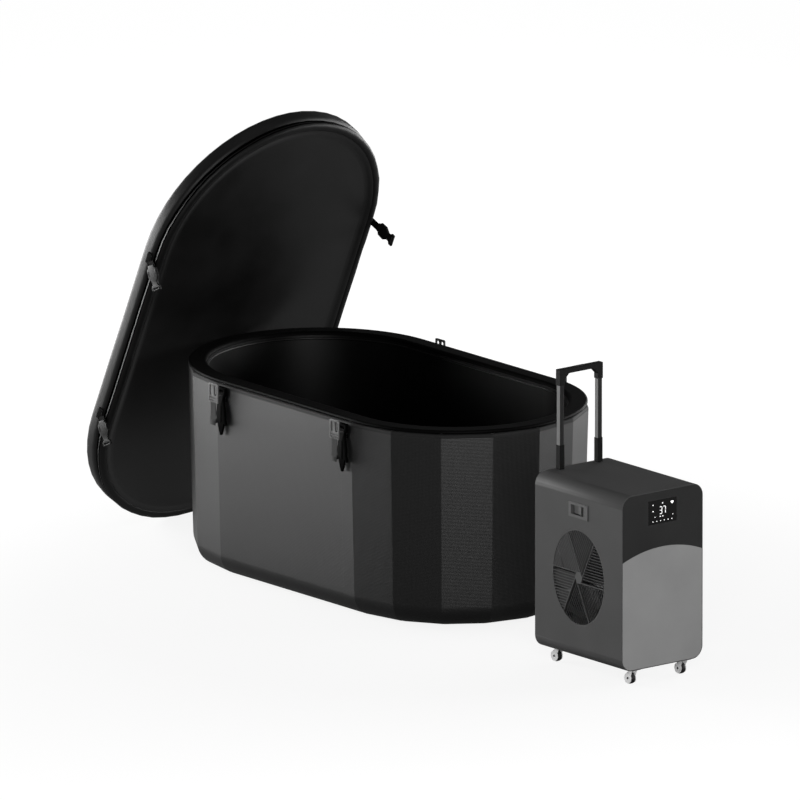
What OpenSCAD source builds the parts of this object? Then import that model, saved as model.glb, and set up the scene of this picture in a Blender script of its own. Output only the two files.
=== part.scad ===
// Insulated cold plunge tub with a padded lid and a wheeled water chiller.
// The tub's long side lies along X, its buckled front faces -Y and Z points up.
// The origin is on the floor under the middle of the tub.

/* [Tub] */
// Overall length of the tub
tub_l = 1500; // [1400:10:1600]
// Overall width of the tub
tub_w = 836; // [790:2:880]
// Height of the tub to the top of its rim
tub_h = 640; // [600:5:680]
// Wall thickness at the middle of an end facet
wall_t = 56; // [50:1:64]
// Thickness of the insulated floor
floor_t = 56; // [50:1:64]
// Inward lean of the wall from rim to base
wall_lean = 18; // [0:1:24]
// Radius of the rounded foot of the wall
foot_r = 70; // [60:1:80]
// Flat facets round each half-round end
end_facets = 8; // [6:1:10]
// Thickness of the outer wrap
wrap_t = 3; // [2:0.5:4]
// Thickness of the non-slip base panel
base_t = 3; // [2:0.5:5]
// Thickness of the welded liner
liner_t = 2.5; // [1.5:0.5:4]
// Inside corner radius between floor and wall
cavity_fillet = 32; // [24:1:40]

/* [Rim] */
// Height of the rim band
rim_h = 12; // [12:1:18]
// Distance that the rim band is set in from the wall
rim_set = 5; // [3:1:7]
// Radius of the lip along the inside of the rim
lip_r = 10; // [6:1:11]
// Rounding of the wall's shoulder under the rim
shoulder_r = 8; // [6:1:12]

/* [Water ports] */
// Radius of the barrel through the wall
port_r = 20; // [18:0.5:24]
// Radius of the hose tail
tail_r = 16; // [14:0.5:18]
// Radius of the waterway
water_r = 12.5; // [10:0.5:13]
// Length of the hose tail
tail_l = 46; // [40:1:60]
// Height of the return port
return_z = 430; // [380:5:470]
// Height of the suction port
suction_z = 150; // [140:5:200]
// Height of the drain
drain_z = 128; // [124:1:150]

/* [Straps] */
// Distance of each strap from the end of its straight side
strap_inset = 32; // [30:1:60]
// Width of the webbing
webbing_w = 26; // [20:1:30]
// Width of a buckle half
buckle_w = 44; // [38:1:50]
// Length of a tub strap from its stitching to its tip
tub_strap_l = 154; // [140:1:170]
// Length of the socket buckle on a lid strap
socket_l = 80; // [70:1:90]
// Webbing let out on the front lid straps
front_tab = 14; // [10:1:30]
// Webbing let out on the rear lid straps
rear_tab = 52; // [40:1:60]
// Angle by which the front lid straps hang away from square
lid_strap_turn = 43; // [30:1:50]

/* [Lid] */
// Overall length of the lid
lid_l = 1522; // [1440:2:1600]
// Overall width of the lid
lid_w = 870; // [820:2:910]
// Thickness of the lid
lid_t = 80; // [74:1:90]
// Depth of the rolled edge on the underside
roll_h = 24; // [20:1:28]
// Width of the rolled edge
roll_w = 30; // [24:1:36]
// Depth of the underside panel within the rolled edge
recess_d = 10; // [6:1:12]
// Lean of the lid from the floor
lid_tilt = 65.6; // [62:0.1:70]
// Shift of the standing lid towards the front
lid_shift = 17; // [0:1:30]

/* [Chiller case] */
// Width of the case
case_w = 322; // [300:2:350]
// Depth of the case from back to front
case_d = 424; // [400:2:460]
// Height of the case itself
case_h = 557; // [530:1:590]
// Radius of the case's long edges
case_r = 40; // [30:1:46]
// Height of the case above the floor
case_z = 49; // [47:1:54]
// Thickness of the case wrap
case_t = 2.5; // [2:0.1:3]
// Thickness of the front and back panels
panel_t = 4; // [3:0.5:5]
// Distance from the tub's middle to the case's middle
case_x = 1319; // [1280:1:1420]
// Shift of the chiller towards the front
case_shift = 150; // [100:5:200]
// Height of the light front panel at its edges
arc_edge_h = 346; // [330:1:360]
// Rise of the light front panel's arched top
arc_rise = 32; // [20:1:40]

/* [Display and switch] */
// Width of the display glass
glass_w = 112; // [90:1:120]
// Height of the display glass
glass_h = 75; // [60:1:84]
// Height of the display's middle above the case bottom
glass_z = 490; // [480:1:494]
// Width of the switch bezel
bezel_w = 92; // [84:1:100]
// Height of the switch bezel
bezel_h = 48; // [42:1:52]
// Height of the switch above the case bottom
bezel_z = 475; // [465:1:480]

/* [Fan grille] */
// Width of the louvred area
grille_w = 256; // [240:2:270]
// Height of the louvred area
grille_h = 306; // [290:2:320]
// Height of the fan's middle above the case bottom
grille_z = 262; // [250:1:270]
// Width of the six ribs
rib_w = 3; // [2:0.5:4]
// Spacing of the louvres
louvre_pitch = 9; // [8:0.5:12]
// Slope of each louvre
louvre_a = 45; // [30:1:50]
// Radius of the fan
fan_r = 112; // [100:1:116]
// Number of fan blades
fan_blades_n = 5; // [4:1:7]

/* [Handle] */
// Distance between the handle's two tubes
handle_w = 152; // [140:1:170]
// Width of a tube of the upper stage
tube_w = 16; // [14:0.5:18]
// Wall of a handle tube
tube_t = 1.2; // [1:0.1:1.5]
// Height of the middle stage above the case, drawn out
middle_rise = 77; // [60:1:90]
// Height of the upper stage above the middle one, drawn out
upper_rise = 225; // [200:1:240]
// Height of the grip
grip_h = 15; // [12:1:18]

/* [Castors] */
// Radius of a castor wheel
wheel_r = 18.5; // [17:0.5:19.5]
// Width of a castor wheel
wheel_w = 15; // [12:1:18]
// Distance from the swivel to the axle
trail = 12; // [8:1:14]
// Distance of the swivels in from the case's sides
castor_inset = 61; // [59:1:71]
// Distance of the front swivels ahead of the case's middle
castor_front = 190; // [180:1:192]
// Distance of the rear swivels behind the case's middle
castor_rear = 168; // [160:1:172]

/* [Hidden] */
$fn = 48;
over = 1;            // overrun of cuts
gap = 0.3;           // clearance between neighbouring pieces
fit_gap = 0.05;      // running clearance of a shaft in its bore
slide_gap = 0.25;    // clearance of one handle stage in the next

facet_a = 180 / end_facets;
half_run = (tub_l - tub_w) / 2;
corner_r = tub_w / 2;
flat_share = cos(facet_a / 2);
flat_r = corner_r * flat_share;
cavity_r = flat_r - wall_t;
lean_share = wall_lean / tub_h;
wall_a = atan(lean_share / flat_share);
wall_top = tub_h - rim_h;
nose_r = rim_h / 2;
rim_r = corner_r - rim_set;
crease_a = 0.8;
foot_steps = 6;
shoulder_steps = 4;
nose_steps = 8;
hem_h = 2 * shoulder_r;
hem_w = shoulder_r + wrap_t;
bead_r = 4;
bead_drop = 10;

port_inset = 142;
port_x = half_run - port_inset;
drain_x = -60;
flange_share = 1.6;
flange_r = flange_share * port_r;
flange_t = 5;
nut_t = 12;
nut_share = 1.45;
nut_r = nut_share * port_r;
collar_t = 6;
valve_l = 44;
valve_r = 19;
stem_r = 5;
lever_l = 62;
lever_w = 16;
lever_t = 5;
washer_gap = 0.1;

strap_x = half_run - strap_inset;
patch_t = 2;
patch_h = 46;
patch_margin = 7;
patch_w = webbing_w + 2 * patch_margin;
patch_drop_share = 1 / 3;
lid_patch_h = 24;
strap_lift = 2;
tub_strap_z = wall_top - shoulder_r + strap_lift;
strap_t = 2;
plate_t = 8;
stand_off = 24;
frame_t = 4;
frame_w_share = 1.05;
frame_h_share = 0.4;
frame_drop_share = 0.66;
frame_rise = 16;
tail_share = 0.46;
tail_a = 2;

lid_r = lid_w / 2;
lid_run = (lid_l - lid_w) / 2;
skin_t = 2;
seam_h = 4;
seam_z = roll_h + seam_h;
piping_r = 2.4;
roll_set = 3;
roll_r = 11;
lid_edge_r = 14;
lid_panel_t = 2;

front_x = case_d / 2;
base_plate_t = 2;
case_floor = case_z + case_t + base_plate_t;
lens_t = 3;
glass_foot = case_z + glass_z - glass_h / 2;
bezel_t = 2.5;
bezel_d = 22;
pocket_w = 62;
pocket_h = 30;
pocket_x = -4;
rocker_w = 40;
rocker_h = 25;
rocker_t = 7;
rocker_dish = 3;
rocker_a = 8;
rocker_pin_r = 2;
rocker_pin_l = 3;
rocker_pin_span = pocket_h + 2 * rocker_pin_l;
grille_share = grille_w / grille_h;
grille_lip = 8;
grille_t = 8;
ring_w = 4;
hub_r = 20;
hub_lap = 1.5;
blade_depth = 30;
fan_hub_r = 34;
duct_t = 2;
duct_l = 36;
arm_w = 12;
motor_l = 24;
shaft_r = 4;
shaft_start = 4;
fan_space = 8;
fan_y = -case_w / 2 + case_t + grille_t + fan_space;
shroud_margin = 12;
shroud_w = 2 * (fan_r + shroud_margin);
condenser_space = 66;
condenser_y = fan_y + condenser_space;
condenser_t = 26;
condenser_margin = 5;
condenser_rows = 12;
fin_d = 3;
fin_h = 4;

guide_t = 1.2;
middle_w = tube_w + 2 * (tube_t + slide_gap);
guide_w = middle_w + 2 * (guide_t + slide_gap);
guide_l = 300;
guide_space = 4;
stage_play = 1;
stage_overlap = 50;
handle_x = -front_x + panel_t + guide_space + guide_w / 2;
handle_y = handle_w / 2;
case_top = case_z + case_h;
grip_z = case_top + middle_rise + upper_rise;
button_l = 38;
button_h = 5.5;
button_seat = 4;
button_travel = 2.5;

castor_y = case_w / 2 - castor_inset;
castor_plate_w = 36;
castor_plate_t = 2;
kingpin_r = 4;
crown_r = 13;
crown_t = 3;
leg_t = 2;
leg_share = 0.75;
leg_gap = 1;
cheek_set = 2;
axle_r = 3;
king_head_r = 4.7;
king_hole_r = 5;

// Outline of the tub: a stadium whose ends are flat facets with softened creases.
function lean(z) = lean_share * (tub_h - z);
function facet_mid(a) = (floor((a + 90) / facet_a) + 0.5) * facet_a - 90;
function facet_pt(a, inset) = (flat_r - inset) / cos(a - facet_mid(a)) * [cos(a), sin(a)];
function side_pt(a, inset) =
    (flat_r - inset) / flat_share * [-tan(abs(a) - 90), sign(a)];
function end_pt(a, inset) = abs(a) > 90 ? side_pt(a, inset) : facet_pt(a, inset);
end_angles = [for (k = [0:end_facets]) for (s = [-1, 1]) k * facet_a - 90 + s * crease_a];
function ring(inset, z) = [for (s = [1, -1]) for (a = end_angles)
    [s * (half_run + end_pt(a, inset)[0]), s * end_pt(a, inset)[1], z]];

// Rings from the base round the foot, for a surface a given depth inside the wall's face.
function foot_rings(inset) = [for (i = [0:foot_steps])
    let (t = 90 * i / foot_steps, r = foot_r - inset, z = base_t + foot_r - r * cos(t))
    ring(lean(z) + foot_r - r * sin(t), z)];
function shoulder_rings() = [for (i = [0:shoulder_steps])
    let (t = 90 * i / shoulder_steps, z = wall_top - shoulder_r * (1 - sin(t)))
    ring(lean(z) + shoulder_r * (1 - cos(t)), z)];
function hem_rings(inset, z) = [
    ring(inset + lean(wall_top - hem_h), wall_top - hem_h),
    ring(inset + lean(z) + hem_w * (z - wall_top + hem_h) / hem_h, z)];

module loft(rings) {
    n = len(rings[0]);
    m = len(rings);
    polyhedron(
        points = [for (r = rings) each r],
        faces = concat(
            [[for (i = [0:n - 1]) i]],
            [[for (i = [n - 1:-1:0]) (m - 1) * n + i]],
            [for (j = [0:m - 2]) for (i = [0:n - 1]) let (k = (i + 1) % n)
                each [[j * n + i, (j + 1) * n + i, (j + 1) * n + k],
                      [j * n + i, (j + 1) * n + k, j * n + k]]]));
}

// A solid or a ring with a stadium plan, swept from a profile of [radius, height].
module stadium(profile, run) {
    for (s = [-1, 1])
        translate([s * run, 0, 0])
            rotate([0, 0, s * 90 - 180])
                rotate_extrude(angle = 180)
                    polygon(profile);
    for (s = [-1, 1])
        rotate([90, 0, s * 90])
            linear_extrude(height = 2 * run, center = true)
                polygon(profile);
}

function arc(cx, cz, r, from, to, steps) = [for (i = [0:steps])
    let (t = from + (to - from) * i / steps) [cx + r * cos(t), cz + r * sin(t)]];

// Profile of the water space, grown by g, up to a given height.
function cavity_at(z) = cavity_r - lean_share * (wall_top - z);
function cavity_profile(g, top) =
    let (f = cavity_fillet + g, z = floor_t + liner_t + cavity_fillet)
    concat(
        [[0, z - f]],
        arc(cavity_at(z) - cavity_fillet, z, f, -90, 0, 6),
        [[cavity_at(wall_top) + g, wall_top], [cavity_at(wall_top) + g, top], [0, top]]);
function bead_profile() =
    let (z = wall_top - bead_drop, r = cavity_at(z) + liner_t / 2)
    concat([[r, z + bead_r]], arc(r - liner_t / 2, z, bead_r, 90, 270, 6), [[r, z - bead_r]]);

module cavity(g, top) {
    stadium(cavity_profile(g, top), half_run);
}

// Places a fitting on the rear wall, its own Z pointing out square to the wall.
module at_port(x, z) {
    translate([x, (flat_r - lean(z)) / flat_share, z])
        rotate([-90 - wall_a, 0, 0])
            children();
}
port_span = (flat_r - lean_share * rim_h) / flat_share - cavity_r;

module port_holes(r) {
    for (p = [[port_x, return_z], [port_x, suction_z], [drain_x, drain_z]])
        at_port(p[0], p[1])
            translate([0, 0, -2 * wall_t])
                cylinder(r = r, h = 3 * wall_t);
}

module tub_wrap() {
    color([0.09, 0.09, 0.09])
        difference() {
            loft(concat(foot_rings(0), shoulder_rings()));
            loft(concat(foot_rings(wrap_t), hem_rings(wrap_t, wall_top + over)));
            port_holes(port_r + gap);
        }
}

module base_panel() {
    color([0.05, 0.05, 0.05])
        loft([ring(foot_r + wall_lean, 0), ring(foot_r + wall_lean, base_t)]);
}

module floor_board() {
    top = floor_t - gap;
    color([0.75, 0.75, 0.72])
        intersection() {
            loft(concat(foot_rings(wrap_t + gap), hem_rings(wrap_t + gap, wall_top)));
            translate([-tub_l / 2, -tub_w / 2, 0])
                cube([tub_l, tub_w, top]);
        }
}

module wall_staves() {
    color([0.82, 0.82, 0.78])
        difference() {
            loft(concat(foot_rings(wrap_t + gap), hem_rings(wrap_t + gap, wall_top - gap)));
            cavity(liner_t + gap, wall_top + over);
            translate([-tub_l / 2, -tub_w / 2, -over])
                cube([tub_l, tub_w, floor_t + over]);
            for (s = [0, 180])
                rotate([0, 0, s])
                    for (k = [0:end_facets])
                        translate([half_run, 0, 0])
                            rotate([0, 0, k * facet_a - 90])
                                translate([0, -gap, 0])
                                    cube([tub_l, 2 * gap, tub_h]);
            port_holes(port_r + gap);
        }
}

module inner_liner() {
    color([0.03, 0.03, 0.03])
        difference() {
            union() {
                difference() {
                    cavity(liner_t, wall_top);
                    cavity(0, wall_top + over);
                }
                stadium(bead_profile(), half_run);
            }
            port_holes(port_r + gap);
        }
}

module rim_band() {
    r = cavity_at(wall_top);
    color([0.05, 0.05, 0.05])
        stadium(concat(
            [[r, wall_top]],
            arc(rim_r - nose_r, wall_top + nose_r, nose_r, -90, 90, nose_steps),
            arc(r + lip_r, tub_h - lip_r, lip_r, 90, 180, 5)), half_run);
}

// Bulkhead fitting seated at its own origin, with its flange a wall's span behind.
module bulkhead(span, reach) {
    difference() {
        union() {
            translate([0, 0, -span - washer_gap - flange_t])
                cylinder(r = flange_r, h = flange_t);
            translate([0, 0, -span - washer_gap - flange_t])
                cylinder(r = port_r, h = span + washer_gap + flange_t + nut_t + collar_t);
            translate([0, 0, nut_t])
                cylinder(r = tail_r, h = collar_t + reach);
        }
        translate([0, 0, -span - flange_t - over])
            cylinder(r = water_r, h = span + flange_t + nut_t + collar_t + reach + 2 * over);
    }
}

module port_nut() {
    translate([0, 0, washer_gap])
        difference() {
            cylinder(r = nut_r, h = nut_t - 2 * washer_gap, $fn = 6);
            translate([0, 0, -over])
                cylinder(r = port_r + washer_gap, h = nut_t + 2 * over);
        }
}

module hose_ports() {
    color([0.12, 0.12, 0.12])
        for (z = [return_z, suction_z])
            at_port(port_x, z)
                bulkhead(port_span, tail_l);
}

module port_nuts() {
    color([0.2, 0.2, 0.2])
        for (p = [[port_x, return_z], [port_x, suction_z], [drain_x, drain_z]])
            at_port(p[0], p[1])
                port_nut();
}

// The valve's body, its stem housing and its outlet, all on the drain's axis.
valve_z = nut_t + collar_t + valve_l / 2;
drain_reach = nut_t + collar_t + valve_l + tail_l;
module drain_valve() {
    color([0.15, 0.15, 0.15])
        at_port(drain_x, drain_z)
            difference() {
                union() {
                    bulkhead(port_span, valve_l + tail_l);
                    translate([0, 0, nut_t + collar_t])
                        cylinder(r = valve_r, h = valve_l);
                    translate([0, 0, valve_z])
                        rotate([90, 0, 0])
                            cylinder(r = 2 * stem_r, h = valve_r + stem_r);
                }
                translate([0, 0, valve_z])
                    rotate([90, 0, 0])
                        translate([0, 0, valve_r - stem_r])
                            cylinder(r = stem_r + fit_gap, h = 3 * stem_r);
                translate([0, 0, -port_span - flange_t - over])
                    cylinder(r = water_r, h = port_span + flange_t + drain_reach + 2 * over);
            }
}

module drain_lever() {
    color([0.7, 0.1, 0.08])
        at_port(drain_x, drain_z)
            translate([0, 0, valve_z])
                rotate([90, 0, 0]) {
                    translate([0, 0, valve_r - stem_r + gap])
                        cylinder(r = stem_r, h = 2 * stem_r);
                    translate([0, 0, valve_r + stem_r + gap])
                        cylinder(r = lever_w / 2, h = lever_t);
                    translate([0, -lever_w / 2, valve_r + stem_r + gap])
                        cube([lever_l, lever_w, lever_t]);
                }
}

// Straps on the tub: index 1 and 2 on the front, 3 and 4 on the rear.
strap_y = (flat_r - lean(tub_strap_z)) / flat_share;
module at_tub_strap(i) {
    side = i < 3 ? 0 : 180;
    x = i % 2 == 1 ? -strap_x : strap_x;
    translate([x, 0, tub_strap_z])
        rotate([0, 0, side])
            translate([0, -strap_y, 0])
                children();
}

module strap_patches() {
    color([0.03, 0.03, 0.03])
        for (i = [1:4])
            at_tub_strap(i)
                rotate([wall_a, 0, 0])
                    translate([-patch_w / 2, -patch_t - gap, -patch_h])
                        cube([patch_w, patch_t, patch_h]);
}

// Shares of half the buckle's width and of the strap's length, from the top down.
male_outline_shares = [
    [1, 0], [1, 0.16], [0.6, 0.24], [0.72, 0.33], [1, 0.58], [0.92, 0.66],
    [1.2, 0.76], [1.14, 0.79], [0.74, 0.74], [0.5, 0.86], [0.16, 1]];
male_slot_shares = [0.06, 0.1];
module male_half(w, l, t) {
    half = [for (p = male_outline_shares) [p[0] * w / 2, -p[1] * l]];
    n = len(half);
    rotate([90, 0, 0])
        linear_extrude(height = t)
            difference() {
                polygon(concat(half, [for (i = [n - 1:-1:0]) [-half[i][0], half[i][1]]]));
                translate([-webbing_w / 2, -male_slot_shares[1] * l])
                    square([webbing_w, (male_slot_shares[1] - male_slot_shares[0]) * l]);
            }
}

// A flat frame with two upright slots over two ladder slots. Each slot is given by the
// shares of the frame's width and height at its left, bottom, right and top.
frame_slot_shares = [
    [-0.36, -0.62, -0.1, -0.1], [0.1, -0.62, 0.36, -0.1],
    [-0.4, -0.78, 0.4, -0.71], [-0.4, -0.92, 0.4, -0.85]];
slot_round_share = 0.45;
module adjuster(w, h, t) {
    rotate([90, 0, 0])
        linear_extrude(height = t)
            difference() {
                translate([0, -h / 2])
                    rounded(w, h, frame_t);
                for (p = frame_slot_shares) {
                    sw = (p[2] - p[0]) * w;
                    sh = (p[3] - p[1]) * h;
                    translate([(p[0] + p[2]) / 2 * w, (p[1] + p[3]) / 2 * h])
                        rounded(sw, sh, slot_round_share * min(sw, sh));
                }
            }
}

module tub_strap(i) {
    back = patch_t + 3 * gap;
    front = back + plate_t + stand_off;
    h = frame_h_share * tub_strap_l;
    tail = tail_share * tub_strap_l;
    color([0.1, 0.1, 0.1])
        at_tub_strap(i) {
            translate([0, -back, 0])
                male_half(buckle_w, tub_strap_l, plate_t);
            translate([-webbing_w / 2, -front, frame_rise - frame_drop_share * h - strap_t])
                cube([webbing_w, stand_off, strap_t]);
            translate([0, -front, frame_rise])
                adjuster(frame_w_share * buckle_w, h, frame_t);
            translate([0, -front, frame_rise - h])
                rotate([-tail_a, 0, 0])
                    translate([-webbing_w / 2, -frame_t, -tail])
                        cube([webbing_w, strap_t, tail + gap]);
        }
}

module tub_strap_1() { tub_strap(1); }
module tub_strap_2() { tub_strap(2); }
module tub_strap_3() { tub_strap(3); }
module tub_strap_4() { tub_strap(4); }

// The lid's own frame has its underside at zero; it stands on one end against the rim.
lid_foot_roll = (lid_run + lid_r - roll_set - roll_r) * sin(lid_tilt) - roll_r * cos(lid_tilt) + roll_r;
lid_foot_side = (lid_run + lid_r) * sin(lid_tilt) - seam_z * cos(lid_tilt);
lid_z = max(lid_foot_roll, lid_foot_side);
nose_x = nose_r - half_run - rim_r;
nose_z = wall_top + nose_r;
lid_x = nose_x + (recess_d - gap - nose_r - cos(lid_tilt) * (nose_z - lid_z)) / sin(lid_tilt);
module at_lid() {
    translate([lid_x, -lid_shift, lid_z])
        rotate([0, -lid_tilt, 0])
            children();
}

function cover_profile(inset, bottom) = concat(
    [[0, bottom], [lid_r - inset, bottom]],
    arc(lid_r - lid_edge_r, lid_t - lid_edge_r, lid_edge_r - inset, 0, 90, 5),
    [[0, lid_t - inset]]);
module lid_cover() {
    color([0.08, 0.08, 0.08])
        at_lid()
            difference() {
                stadium(cover_profile(0, seam_z), lid_run);
                stadium(cover_profile(skin_t, seam_z - over), lid_run);
            }
}

roll_inner = lid_r - roll_set - roll_w;
module lid_core() {
    r = lid_edge_r - skin_t - gap;
    color([0.85, 0.85, 0.82])
        at_lid()
            stadium(concat(
                [[0, recess_d + lid_panel_t + gap], [roll_inner - gap, recess_d + lid_panel_t + gap],
                 [roll_inner - gap, roll_h + gap], [lid_r - 2 * roll_set - piping_r, roll_h + gap],
                 [lid_r - 2 * roll_set - piping_r, seam_z + piping_r],
                 [lid_r - skin_t - gap, seam_z + piping_r]],
                arc(lid_r - lid_edge_r, lid_t - lid_edge_r, r, 0, 90, 5),
                [[0, lid_t - skin_t - gap]]), lid_run);
}

module lid_edge_roll() {
    x = lid_r - roll_set;
    color([0.05, 0.05, 0.05])
        at_lid()
            stadium(concat(
                [[roll_inner, roll_h], [roll_inner, roll_r]],
                arc(roll_inner + roll_r, roll_r, roll_r, 180, 270, 5),
                arc(x - roll_r, roll_r, roll_r, -90, 0, 5),
                [[x, roll_h - 2 * gap], [x - roll_set, roll_h]]), lid_run);
}

module lid_panel() {
    r = roll_inner - gap;
    color([0.02, 0.02, 0.02])
        at_lid()
            stadium([[0, recess_d], [r, recess_d], [r, recess_d + lid_panel_t],
                     [0, recess_d + lid_panel_t]], lid_run);
}

piping_steps = 12;
module lid_piping() {
    z = (roll_h + seam_z) / 2 + gap / 2;
    last = 360 * (1 - 1 / piping_steps);
    color([0.12, 0.12, 0.12])
        at_lid()
            stadium(arc(lid_r - roll_set - piping_r / 2, z, (seam_z - roll_h) / 2 - gap,
                0, last, piping_steps - 1), lid_run);
}

// Straps on the lid: index 1 and 2 on the front edge, 3 and 4 on the rear edge.
module at_lid_strap(i) {
    side = i < 3 ? 0 : 180;
    x = i % 2 == 1 ? -strap_x : strap_x;
    at_lid()
        translate([x, 0, seam_z + patch_drop_share * lid_patch_h])
            rotate([0, 0, side])
                translate([0, -lid_r, 0])
                    children();
}

module lid_patches() {
    color([0.03, 0.03, 0.03])
        for (i = [1:4])
            at_lid_strap(i)
                translate([-patch_w / 2, -patch_t - gap, -patch_drop_share * lid_patch_h])
                    cube([patch_w, patch_t, lid_patch_h]);
}

// Shares of half the buckle's width and of the half buckle's length, from the tab on.
female_outline_shares = [
    [0.62, 0], [0.62, 0.08], [1, 0.14], [1.06, 0.46], [0.8, 0.56], [0.55, 0.66],
    [0.55, 0.78], [0.9, 0.84], [0.9, 1]];
female_slot_shares = [-0.3, -0.95, 0.3, -0.89];
module female_half(w, l, t) {
    p = female_slot_shares;
    half = [for (q = female_outline_shares) [q[0] * w / 2, -q[1] * l]];
    n = len(half);
    rotate([90, 0, 0])
        linear_extrude(height = t)
            difference() {
                polygon(concat(half, [for (i = [n - 1:-1:0]) [-half[i][0], half[i][1]]]));
                translate([p[0] * w, p[1] * l])
                    square([(p[2] - p[0]) * w, (p[3] - p[1]) * l]);
            }
}

module lid_strap(i) {
    turn = i < 3 ? lid_strap_turn : 0;
    tab_l = i < 3 ? front_tab : rear_tab;
    color([0.1, 0.1, 0.1])
        at_lid_strap(i)
            translate([0, -patch_t - 2 * gap, -webbing_w / 2 * sin(turn)])
                rotate([0, turn, 0]) {
                    translate([-webbing_w / 2, -strap_t, -tab_l])
                        cube([webbing_w, strap_t, tab_l]);
                    translate([0, 0, -tab_l])
                        female_half(buckle_w, socket_l, plate_t);
                }
}

module lid_strap_1() { lid_strap(1); }
module lid_strap_2() { lid_strap(2); }
module lid_strap_3() { lid_strap(3); }
module lid_strap_4() { lid_strap(4); }

// The chiller's own frame has its origin on the floor under the middle of the case.
module at_chiller() {
    translate([case_x, -case_shift, 0])
        children();
}

module rounded(w, h, r) {
    translate([-w / 2 + r, -h / 2])
        square([w - 2 * r, h]);
    translate([-w / 2, -h / 2 + r])
        square([w, h - 2 * r]);
    for (x = [-1, 1])
        for (y = [-1, 1])
            translate([x * (w / 2 - r), y * (h / 2 - r)])
                circle(r = r);
}

module case_slab(inset, from, to) {
    translate([from, 0, case_z + case_h / 2])
        rotate([90, 0, 90])
            linear_extrude(height = to - from)
                rounded(case_w - 2 * inset, case_h - 2 * inset, case_r - inset);
}

ellipse_n = 48;
function ellipse(a, b) = [for (i = [0:ellipse_n - 1])
    let (t = 360 * i / ellipse_n) [a * cos(t), b * sin(t)]];

// Cuts or plates on the front-facing side, laid out in X and Z and pushed along Y.
module on_side(z, y, t) {
    translate([0, y, case_z + z])
        rotate([90, 0, 0])
            mirror([0, 0, 1])
                linear_extrude(height = t)
                    children();
}

side_y = case_w / 2;
exhaust_w = 264;
exhaust_h = 234;
exhaust_z = case_h / 2;
exhaust_rows = 16;
exhaust_t = 4;
exhaust_margin = 8;
exhaust_slot_share = 0.5;
module handle_posts(w, from, to) {
    for (s = [-1, 1])
        translate([handle_x - w / 2, s * handle_y - w / 2, from])
            cube([w, w, to - from]);
}

module case_wrap() {
    color([0.11, 0.11, 0.11])
        at_chiller()
            difference() {
                case_slab(0, -front_x, front_x);
                case_slab(case_t, -front_x - over, front_x + over);
                on_side(grille_z, -side_y - over, case_t + 2 * over)
                    polygon(ellipse(grille_w / 2 + gap, grille_h / 2 + gap));
                on_side(bezel_z, -side_y - over, case_t + 2 * over)
                    square([bezel_w - 2 * bezel_t, bezel_h - 2 * bezel_t], center = true);
                on_side(exhaust_z, side_y - case_t - over, case_t + 2 * over)
                    square([exhaust_w, exhaust_h], center = true);
                handle_posts(guide_w + gap, case_top - case_t - over, case_top + over);
                for (x = [castor_front, -castor_rear])
                    for (s = [-1, 1])
                        translate([x, s * castor_y, case_z - over])
                            cylinder(r = king_hole_r, h = case_t + 2 * over);
            }
}

panel_inset = case_t + gap;
arc_r = (pow(case_w / 2, 2) + pow(arc_rise, 2)) / (2 * arc_rise);
module arch(grow) {
    translate([0, 0, case_z + arc_edge_h + arc_rise - arc_r])
        rotate([0, 90, 0])
            cylinder(r = arc_r + grow, h = front_x + over, $fn = 180);
}

module front_upper() {
    color([0.04, 0.04, 0.04])
        at_chiller()
            difference() {
                case_slab(panel_inset, front_x - panel_t, front_x);
                arch(gap);
                translate([front_x - lens_t, -glass_w / 2 - gap, glass_foot - gap])
                    cube([lens_t + over, glass_w + 2 * gap, glass_h + 2 * gap]);
            }
}

module front_lower() {
    color([0.24, 0.24, 0.24])
        at_chiller()
            intersection() {
                case_slab(panel_inset, front_x - panel_t, front_x);
                arch(0);
            }
}

module display_lens() {
    color([0.02, 0.02, 0.02])
        at_chiller()
            translate([front_x - lens_t + gap, -glass_w / 2, glass_foot])
                cube([lens_t - gap, glass_w, glass_h]);
}

chiller_port_inset = 101;
chiller_port_y = side_y - chiller_port_inset;
chiller_port_z = [120, 200];
inlet_w = 48;
inlet_h = 28;
inlet_z = 60;
inlet_inset = 81;
inlet_y = inlet_inset - side_y;
inlet_d = 26;
inlet_lip = 4;
inlet_lip_t = 2;
socket_w = 24;
socket_h = 16;
socket_d = 17;
blade_pitch = 7;
blade_w = 4;
blade_l = 14;
inlet_blade_t = 2;
module back_panel() {
    color([0.1, 0.1, 0.1])
        at_chiller()
            difference() {
                case_slab(panel_inset, -front_x, -front_x + panel_t);
                for (z = chiller_port_z)
                    translate([-front_x - over, chiller_port_y, case_z + z])
                        rotate([0, 90, 0])
                            cylinder(r = port_r + gap, h = panel_t + 2 * over);
                translate([-front_x - over, inlet_y, case_z + inlet_z])
                    rotate([90, 0, 90])
                        linear_extrude(height = panel_t + 2 * over)
                            square([inlet_w + 2 * gap, inlet_h + 2 * gap], center = true);
            }
}

module base_plate() {
    color([0.5, 0.5, 0.52])
        at_chiller()
            difference() {
                translate([-front_x + panel_t + gap, -case_w / 2 + case_r, case_z + case_t])
                    cube([case_d - 2 * panel_t - 2 * gap, case_w - 2 * case_r, base_plate_t]);
                for (x = [castor_front, -castor_rear])
                    for (s = [-1, 1])
                        translate([x, s * castor_y, case_z])
                            cylinder(r = king_hole_r, h = case_t + base_plate_t + over);
            }
}

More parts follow.
